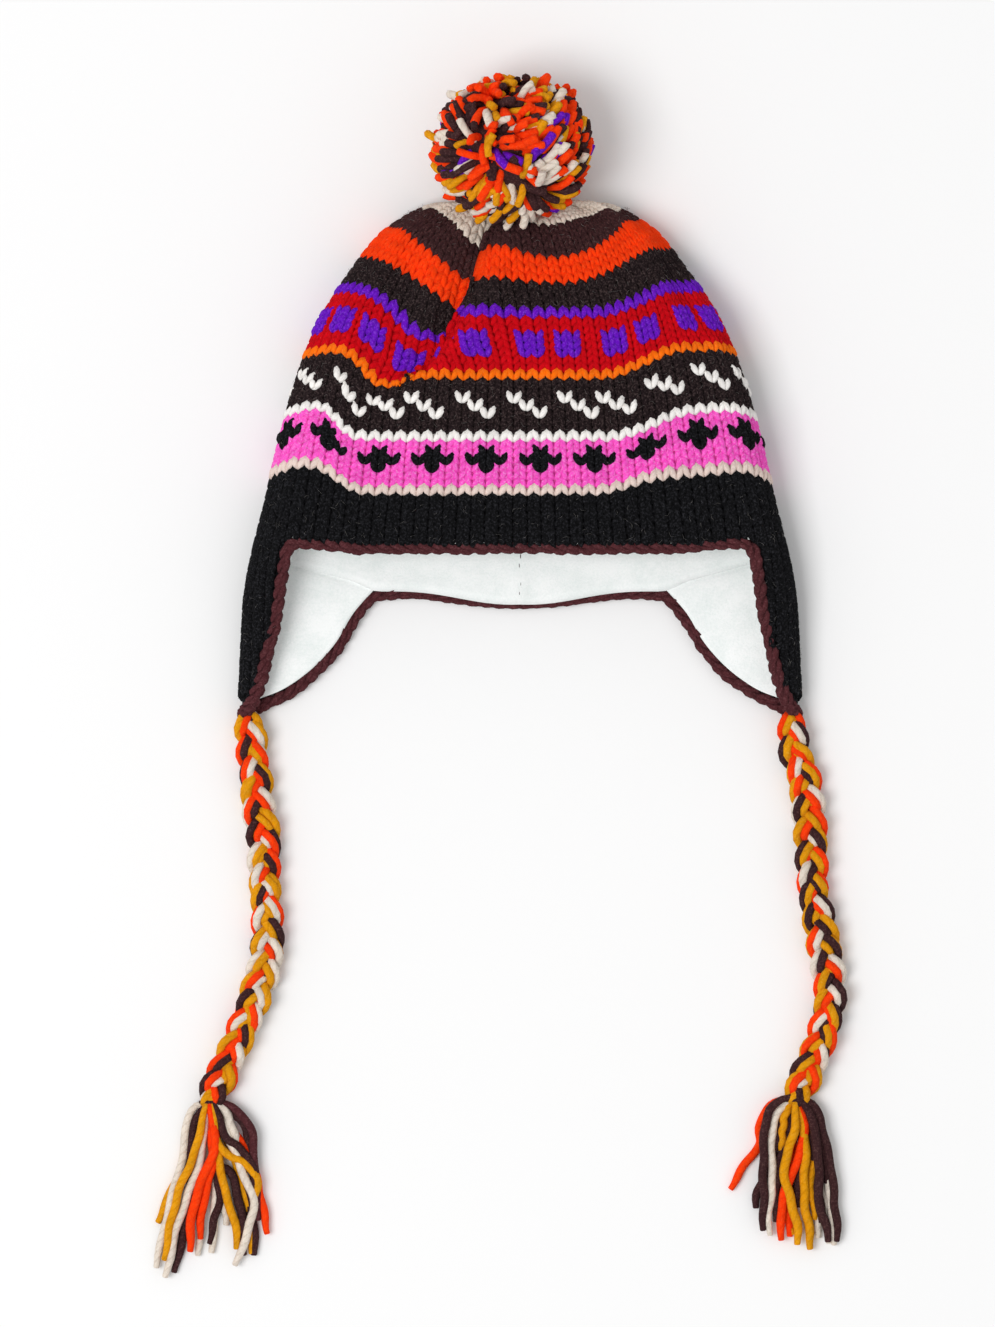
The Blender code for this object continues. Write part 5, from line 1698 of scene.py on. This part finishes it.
@dataclass
class Tie:
    """One braided tie with its tassel."""

    label: str
    side: int
    route: Sequence[tuple[float, float]]
    yarns: Sequence[TasselYarn]
    seed: int
    strands: Sequence[Sequence[Wool]]
    knot_width: float
    diameter: float = 0.017
    lay: float = 0.034            # length of a full round of the braid
    half_width: float = 0.0047    # of a strand's swing
    half_height: float = 0.0036
    bundle: tuple[float, float] = (0.0025, 0.0016)
    yarn_radius: float = 0.00208
    tassel_radius: float = 0.00228
    knot_height: float = 0.0062
    overlap: float = 0.0045       # that the strands go on under the edging and into the knot
    kinks: float = 0.00045        # sideways, that the loose yarns keep from their twist
    edging_diameter: float = 0.0068
    edging_seat: float = 0.0005
    floor_gap: float = 0.0002
    start_height: float = 0.0092  # of the braid where it leaves the edging

    def centre_line(self, edging: Array) -> Array:
        """Return the braid's centre line, from the flap's tip to the tassel."""
        flap = edging[edging[:, 0] * self.side > 0.0]
        lowest = flap[:, 1].min()
        tip = flap[flap[:, 1] < lowest + 0.25 * self.edging_diameter]
        start = (float(tip[:, 0].mean()),
                 float(lowest) - 0.5 * self.edging_diameter - self.edging_seat)
        flat = smooth_line(np.array((start, *self.route)), 120)
        share = np.linspace(0.0, 1.0, len(flat))
        resting = self.half_height + self.bundle[1] + self.yarn_radius + self.floor_gap
        height = resting + (self.start_height - resting) * (1.0 - smooth_step(share / 0.10))
        return np.concatenate((flat, height[:, None]), axis=1)

    def braid(self, line: Array) -> bpy.types.Object:
        """Plait three strands, each a bundle of yarns, along a centre line."""
        before = line[0] + unit(line[0] - line[2]) * self.overlap
        after = line[-1] + unit(line[-1] - line[-3]) * self.overlap
        fine = smooth_line(np.concatenate((before[None], line[2:-2:3], after[None])), 280)
        length = line_length(fine)
        ahead = unit(np.gradient(fine, axis=0))
        side = unit(np.cross(ahead, np.array((0.0, 0.0, 1.0))))
        up = np.cross(side, ahead)
        at = np.linspace(0.0, length, len(fine))
        ease = 0.5 + 0.5 * smooth_step(at / 0.012)
        ease = ease * (0.42 + 0.58 * smooth_step((length - at) / 0.012))
        shuffle = np.random.default_rng(self.seed)
        lines, colours = [], []
        names = list(dict.fromkeys(colour for strand in self.strands for colour in strand))
        wander = 1.0 + 0.07 * np.sin(2 * math.pi * at / 0.071 + self.seed)
        for strand, wools in enumerate(self.strands):
            phase = 2 * math.pi * (at / self.lay + strand / 3.0) + 0.25 * np.sin(
                2 * math.pi * at / 0.093 + 2.1 * strand)
            swing = self.half_width * np.sin(phase) * ease * wander
            lift = self.half_height * np.sin(2 * phase) * ease
            middle = fine + swing[:, None] * side + lift[:, None] * up
            run = unit(np.gradient(middle, axis=0))
            across = unit(np.cross(run, up))
            out = np.cross(across, run)
            for number, colour in enumerate(wools):
                angle = 2 * math.pi * (number / len(wools) + at / 0.150 + 0.17 * strand)
                angle = angle + 0.35 * np.sin(2 * math.pi * at / 0.047 + 1.7 * number)
                wide = self.bundle[0] * np.cos(angle) * (0.55 + 0.45 * ease)
                high = self.bundle[1] * np.sin(angle)
                lines.append(middle + wide[:, None] * across + high[:, None] * out)
                colours.append(names.index(colour))
        lines = np.array(lines)
        lines[..., 2] = np.maximum(lines[..., 2], self.yarn_radius + self.floor_gap)
        rings = 90
        template = YarnTemplate(sides=8, rings=rings, stations=tuple(np.linspace(0, 1, rings)))
        gathered = Faces()
        radii = self.yarn_radius * shuffle.uniform(0.94, 1.08, len(lines))
        lay_yarns(template, gathered, lines, radii, np.array(colours))
        piece = gathered.build(f"braid_{self.label}_yarns", [wool(colour) for colour in names])
        return finish_piece(piece, "braided_wool_yarn", f"braid_{self.label}")

    def tassel(self, line: Array) -> bpy.types.Object:
        """Lay out the loose yarns below the braid, tied with a thread."""
        shuffle = np.random.default_rng(self.seed + 50)
        knot = line[-1] + unit(line[-1] - line[-3]) * 0.0022
        names = list(dict.fromkeys([yarn.wool for yarn in self.yarns] + [Wool.BROWN]))
        count = len(self.yarns)
        lines, colours, radii = [], [], []
        order = shuffle.permutation(count)
        for number, yarn in enumerate(self.yarns):
            flat = np.array(yarn.line).reshape(-1, 2) * (0.001, -0.001)
            flat = smooth_line(flat, 40)
            share = np.linspace(0.0, 1.0, len(flat))
            kink = np.sin(2 * math.pi * share * shuffle.uniform(2.4, 4.2) + 6.0 * shuffle.random())
            flat[:, 0] += self.kinks * kink * smooth_step(share / 0.3)
            below = np.clip(-flat[:, 1] / 0.026, 0.0, 1.0)
            settle = smooth_step(below)
            layers = 1.0 + 1.45 * yarn.layer * (1.0 - 0.62 * share)
            height = self.floor_gap + self.tassel_radius * layers
            height = np.maximum(height, self.tassel_radius + self.floor_gap)
            start_z = self.knot_height + (yarn.layer - 1.2) * 0.0023
            z = start_z * (1 - settle) + height * settle
            x = knot[0] + flat[:, 0]
            x = x + (1 - settle) * 0.0004 * (order[number] - 0.5 * count) / count
            lines.append(np.stack((x, knot[1] + flat[:, 1], z), axis=1))
            colours.append(names.index(yarn.wool))
            radii.append(self.tassel_radius * shuffle.uniform(0.90, 1.08))
        template = YarnTemplate(sides=8, rings=30, stations=tuple(yarn_stations(28, 0.006)))
        gathered = Faces()

        def thin(share: Array) -> Array:
            """Return how full the yarns are along their length."""
            fray = 1.0 - 0.30 * smooth_step((share - 0.86) / 0.14)
            return (0.72 + 0.28 * smooth_step(share / 0.22)) * fray

        lay_yarns(template, gathered, np.array(lines), np.array(radii), np.array(colours),
                  blunt=0.72, bulk=thin)
        self.tie_thread(gathered, knot, names.index(Wool.BROWN))
        piece = gathered.build(f"tassel_{self.label}_yarns", [wool(colour) for colour in names])
        return finish_piece(piece, "mixed_wool_yarn", f"tassel_{self.label}")

    def tie_thread(self, gathered: Faces, knot: Array, colour: int) -> None:
        """Wind the thin dark thread round the junction of braid and tassel."""
        turns = np.linspace(0.0, 1.0, 60)
        angle = 2 * math.pi * 2.2 * turns
        line = np.stack((knot[0] + 0.5 * self.knot_width * np.cos(angle),
                         knot[1] + 0.0004 - 0.0011 * turns,
                         self.knot_height + 0.0056 * np.sin(angle)), axis=1)
        line[:, 2] = np.maximum(line[:, 2], 0.0009)
        template = YarnTemplate(sides=6, rings=48)
        lay_yarns(template, gathered, line[None], np.array((0.0007,)), np.array((colour,)),
                  np.array((0.0, 1.0, 0.0)))

    def make(self, edging: Array) -> None:
        line = self.centre_line(edging)
        braid = self.braid(line)
        tassel = self.tassel(line)


# The stage


@dataclass
class Stage:
    """A pale floor, soft light from the left and a camera straight above."""

    lens: float = 500.0
    sensor: float = 36.0

    def camera(self) -> None:
        """Hang the camera over the hat, with the photo's top towards the pompom."""
        height = PHOTO_HEIGHT_SPAN * self.lens / self.sensor
        deselect()
        bpy.ops.object.camera_add(location=(*VIEW_CENTRE, height), rotation=(0.0, 0.0, 0.0))
        item = bpy.context.object
        item.name = "camera"
        item.data.lens = self.lens
        item.data.sensor_width = self.sensor
        bpy.context.scene.camera = item

    def floor(self) -> None:
        """Lay the floor: smooth pale paper board, matt."""
        deselect()
        bpy.ops.mesh.primitive_plane_add(size=12.0, location=(0.0, 0.0, 0.0))
        item = bpy.context.object
        item.name = "floor"
        material, _ = new_material("pale_paper_backdrop", {
            "Base Color": (*linear("F3F3F3"), 1.0), "Roughness": 0.9,
            "Specular IOR Level": 0.1})
        item.data.materials.append(material)

    def light(self, name: str, place: tuple[float, float, float], size: float,
              power: float) -> None:
        """Hang one square soft light that faces the hat."""
        deselect()
        bpy.ops.object.light_add(type="AREA", location=place)
        item = bpy.context.object
        item.name = name
        item.data.size = size
        item.data.energy = power
        aim = Vector((-0.01, -0.05, 0.0)) - Vector(place)
        item.rotation_euler = aim.to_track_quat("-Z", "Y").to_euler()

    def make(self) -> None:
        """Set up floor, light and sky."""
        self.floor()
        self.light("window_light", (-2.50, -0.65, 5.20), 2.8, 178.0)
        world = bpy.data.worlds.new("studio")
        bpy.context.scene.world = world
        world.use_nodes = True
        sky = world.node_tree.nodes["Background"]
        sky.inputs["Color"].default_value = (1.0, 1.0, 1.0, 1.0)
        sky.inputs["Strength"].default_value = 0.65
        bpy.context.scene.view_settings.view_transform = "Standard"


LEFT_ROUTE = (
    (-0.1396, -0.1826), (-0.1385, -0.1904), (-0.1370, -0.1980), (-0.1366, -0.2060),
    (-0.1357, -0.2150), (-0.1342, -0.2230), (-0.1332, -0.2320), (-0.1330, -0.2440),
    (-0.1322, -0.2560), (-0.1314, -0.2680), (-0.1312, -0.2800), (-0.1318, -0.2910),
    (-0.1340, -0.3020), (-0.1378, -0.3130), (-0.1418, -0.3230), (-0.1462, -0.3330),
    (-0.1505, -0.3430), (-0.1552, -0.3540), (-0.1604, -0.3650),
)
RIGHT_ROUTE = (
    (0.1418, -0.1826), (0.1452, -0.1904), (0.1476, -0.1975), (0.1490, -0.2060),
    (0.1502, -0.2160), (0.1508, -0.2260), (0.1511, -0.2360), (0.1516, -0.2460),
    (0.1524, -0.2560), (0.1540, -0.2660), (0.1560, -0.2760), (0.1578, -0.2870),
    (0.1602, -0.2990), (0.1614, -0.3100), (0.1598, -0.3210), (0.1570, -0.3320),
    (0.1530, -0.3430), (0.1484, -0.3540), (0.1444, -0.3640),
)
# Read off the photo, from the knot down.
LEFT_TASSEL = [TasselYarn(*row) for row in (
    (Wool.CREAM, 1, (-0.4, 0.4, -9.8, 5.2, -15, 33.1, -21.4, 56.6, -27.9, 86.5)),
    (Wool.MUSTARD, 0, (-0.4, 0.4, -6.5, 12.3, -15, 35.8, -22.1, 51.4, -27.3, 63.1)),
    (Wool.MUSTARD, 3, (-1.3, 0, -3.2, 6.5, -7.2, 25.4, -15, 43.6, -20.2, 63.1, -23.4, 82.5)),
    (Wool.CREAM, 2, (-0.9, 0, -5.2, 30.6, -12.3, 51.4, -17.6, 67, -22.8, 91.4)),
    (Wool.BROWN, 0, (-2, 0, -7.8, 20.2, -11.1, 51.4, -15, 74.8, -18.2, 89)),
    (Wool.BROWN, 1, (-1.3, 0, -7.8, 11.1, -9.8, 26.7, -7.8, 43.6, -13.7, 64.4)),
    (Wool.VERMILION, 3, (-0.1, 0, 1.3, 9.8, 3.5, 21.4, -2, 35.8, -8.5, 55.2, -10.4, 78)),
    (Wool.CREAM, 0, (-0.4, 0, -2.6, 30.6, -4.8, 61.8, -5.9, 80.2)),
    (Wool.VERMILION, 2, (0.4, 0, 1.7, 27.9, -0.4, 41, -3.5, 54, -5.2, 71.5)),
    (Wool.BROWN, 1, (0.7, 0, 3.2, 30.6, 5.2, 50.1, 2, 63.1, -0.1, 74.1)),
    (Wool.CREAM, 0, (0.4, 0, 2.2, 30.6, 2.6, 61.8, 0.4, 78.7)),
    (Wool.CREAM, 0, (0.9, 0, 5.2, 30.6, 7.8, 51.4, 8.5, 64.4)),
    (Wool.MUSTARD, 2, (0.9, 0, 3.5, 21.4, 6.1, 35.8, 8.5, 48.8, 13, 61.8, 14.4, 76.7)),
    (Wool.BROWN, 1, (1.2, 0, 4.5, 30.6, 11.1, 37.1, 16.2, 56.6, 17.6, 80)),
    (Wool.CREAM, 2, (2, 0, 11.1, 21.4, 16.5, 34.5, 23, 51.4, 20.8, 64.4, 13.4, 85.2)),
    (Wool.MUSTARD, 0, (2, 0, 13.7, 33.1, 20.8, 56.6, 22.2, 79.3)),
    (Wool.BROWN, 0, (2.2, 0, 16.2, 33.1, 22.1, 59.1, 23.3, 80)),
    (Wool.MUSTARD, 3, (1.2, 0, 4.3, 20.2, 9.8, 27.9, 18.2, 31.2, 24.7, 41, 24.3, 51.4)),
    (Wool.BROWN, 3, (1.2, -0.3, 5.9, 9.8, 8.5, 18.9, 16.2, 24.1, 22.8, 34.5, 23.5, 46.1)),
    (Wool.MAROON, 2, (2.6, -0.7, 13, 3.2, 21.4, 14.3, 23, 24.1, 24.1, 43.6, 25.6, 61.8)),
    (Wool.VERMILION, 1, (2.6, 0, 20.2, 27.9, 26.4, 48.8, 28.6, 60.5, 30.3, 68.9)),
    (Wool.CREAM, 2, (1.4, -0.7, 7.8, 4.5, 12.6, 16.2, 13.9, 30.6)),
    (Wool.BROWN, 1, (2, -0.7, 16.2, 9.8, 20.8, 21.4, 22.8, 39.6, 24.7, 61.8)),
)]
RIGHT_TASSEL = [TasselYarn(*row) for row in (
    (Wool.VERMILION, 0, (-2.4, -0.9, -11.2, 1.3, -16.9, 7.2, -19.3, 14.2, -18.4, 21.1, -20.7, 25.5,
        -27.6, 35, -34.5, 46.6)),
    (Wool.BROWN, 3, (-1.8, -1.6, -8.1, -0.3, -14.4, 5.4, -16.4, 14.2, -17, 24.9, -17.4, 36.2,
        -16.9, 50.1, -17.4, 68)),
    (Wool.BROWN, 1, (-1.8, -0.6, -8.1, 12.3, -13.7, 35, -17.8, 43.2, -20.3, 49.1, -21, 56.4)),
    (Wool.CREAM, 2, (-1.4, -0.3, -7.4, 4.1, -11.8, 11, -12.6, 19.8, -13.1, 29.9, -12.3, 38.7,
        -12.8, 47.6, -14.4, 57, -14, 70.6)),
    (Wool.MUSTARD, 2, (-1.1, -0.3, -4, 3.5, -6.2, 9.8, -7.1, 16.7, -7.7, 26.1)),
    (Wool.BROWN, 1, (-0.8, -0.3, -2.7, 7.9, -4, 17.3, -5.9, 25.5, -8.7, 31.2, -10.1, 40.6, -10.6,
        50.1, -11, 63.6)),
    (Wool.MUSTARD, 3, (-0.6, -0.3, -0.5, 8.5, -1.1, 17.3, -4.4, 26.1, -6.2, 33.7, -5.7, 41.9, -3.5,
        50.1, -1.4, 57.6, 0.4, 65.2, 0.9, 75.3)),
    (Wool.VERMILION, 2, (0.1, -0.3, 3.6, 9.1, 4.7, 16.7, 2, 26.1, -1.6, 36.2, -3.5, 42.5, -6.7,
        49.5, -7.9, 59.5, -7.6, 73.1)),
    (Wool.MUSTARD, 1, (1.1, -0.3, 6.4, 13.5, 8.3, 21.7, 9.7, 29.9, 7.7, 37.5, 7.7, 46.9, 9.1, 55.1,
        9.7, 62.4)),
    (Wool.MUSTARD, 2, (0.4, -0.3, 3.9, 15.4, 4.9, 26.1, 4.4, 37.5, 4, 47.6, 4.7, 56.4, 6.3, 64.6,
        7.6, 77.8)),
    (Wool.BROWN, 3, (2, -0.6, 7.1, 7.2, 9.4, 17.3, 11.2, 26.1, 11.6, 36.2, 11.5, 46.9, 12.9, 58.3,
        15.2, 65.2, 16.6, 73.9)),
    (Wool.BROWN, 2, (3, -0.6, 8.3, 1.6, 12.1, 8.5, 14.1, 17.3, 16, 26.1, 18.1, 35, 19, 43.8, 19.8,
        53.2, 20.9, 62.7, 21.2, 73.7)),
    (Wool.CREAM, 1, (2.3, -0.3, 12.1, 22.4, 15.4, 33.7, 16.5, 41.3, 16.9, 48.8, 18.3, 58.3, 18.8,
        65.2, 19.3, 75.6)),
    (Wool.CREAM, 0, (2, -0.3, 10.8, 24.9, 14.3, 41.3, 15.8, 53.2, 17.1, 62.7, 17.1, 74.7)),
    (Wool.BROWN, 1, (0.4, -0.3, 3.3, 13.5, 2.3, 28, 1.5, 37.5, 1, 46.9, 0.3, 55.8)),
    (Wool.CREAM, 0, (1.4, -0.3, 8.3, 24.9, 11.2, 43.8, 12.2, 59.5, 11.5, 65.2, 11.2, 71.8)),
    (Wool.VERMILION, 0, (-0.2, -0.3, -1.8, 24.9, -4.9, 50.1, -4, 62.7, -3.5, 71.2)),
    (Wool.CREAM, 0, (0.1, -0.3, 2, 24.9, 2.3, 55.1, 2.8, 61.4, 4.2, 69.3)),
    (Wool.BROWN, 1, (2.6, -0.3, 6.4, 15.4, 8.3, 26.1, 11.2, 35, 10.8, 43.8, 12.2, 53.2, 13.4,
        63.9)),
    (Wool.MUSTARD, 0, (-0.5, -0.3, -4.3, 24.9, -5.5, 50.1, -4.8, 59.5, -3.5, 65.8, -1.8, 70.2)),
    (Wool.BROWN, 2, (3.3, -0.3, 7.7, 3.5, 10.8, 13.5, 13.4, 24.9, 14.9, 35, 16.5, 43.8)),
)]
LEFT_STRANDS = ((Wool.MUSTARD, Wool.VERMILION, Wool.CREAM, Wool.MUSTARD),
                (Wool.CREAM, Wool.MUSTARD, Wool.BROWN, Wool.VERMILION),
                (Wool.MUSTARD, Wool.CREAM, Wool.VERMILION, Wool.BROWN))
RIGHT_STRANDS = ((Wool.VERMILION, Wool.MUSTARD, Wool.BROWN, Wool.MUSTARD),
                 (Wool.CREAM, Wool.BROWN, Wool.MUSTARD, Wool.VERMILION),
                 (Wool.VERMILION, Wool.CREAM, Wool.BROWN, Wool.MUSTARD))


def main() -> None:
    """Dress the hat: camera and cords first, then the rest."""
    logging.basicConfig(level=logging.INFO, format="%(message)s")
    stage = Stage()
    stage.camera()
    form = HatForm()
    opening = Opening(form)
    edging_line, _ = opening.edging_line()
    Tie("left", -1, LEFT_ROUTE, LEFT_TASSEL, 21, LEFT_STRANDS, 0.0100).make(edging_line)
    Tie("right", 1, RIGHT_ROUTE, RIGHT_TASSEL, 34, RIGHT_STRANDS, 0.0124).make(edging_line)
    surface = KnitSurface(form, opening)
    Knitting(surface).make()
    Edging(opening).make()
    Lining(form, opening).make()
    Pompom().make()
    stage.make()


if __name__ == "__main__":
    main()
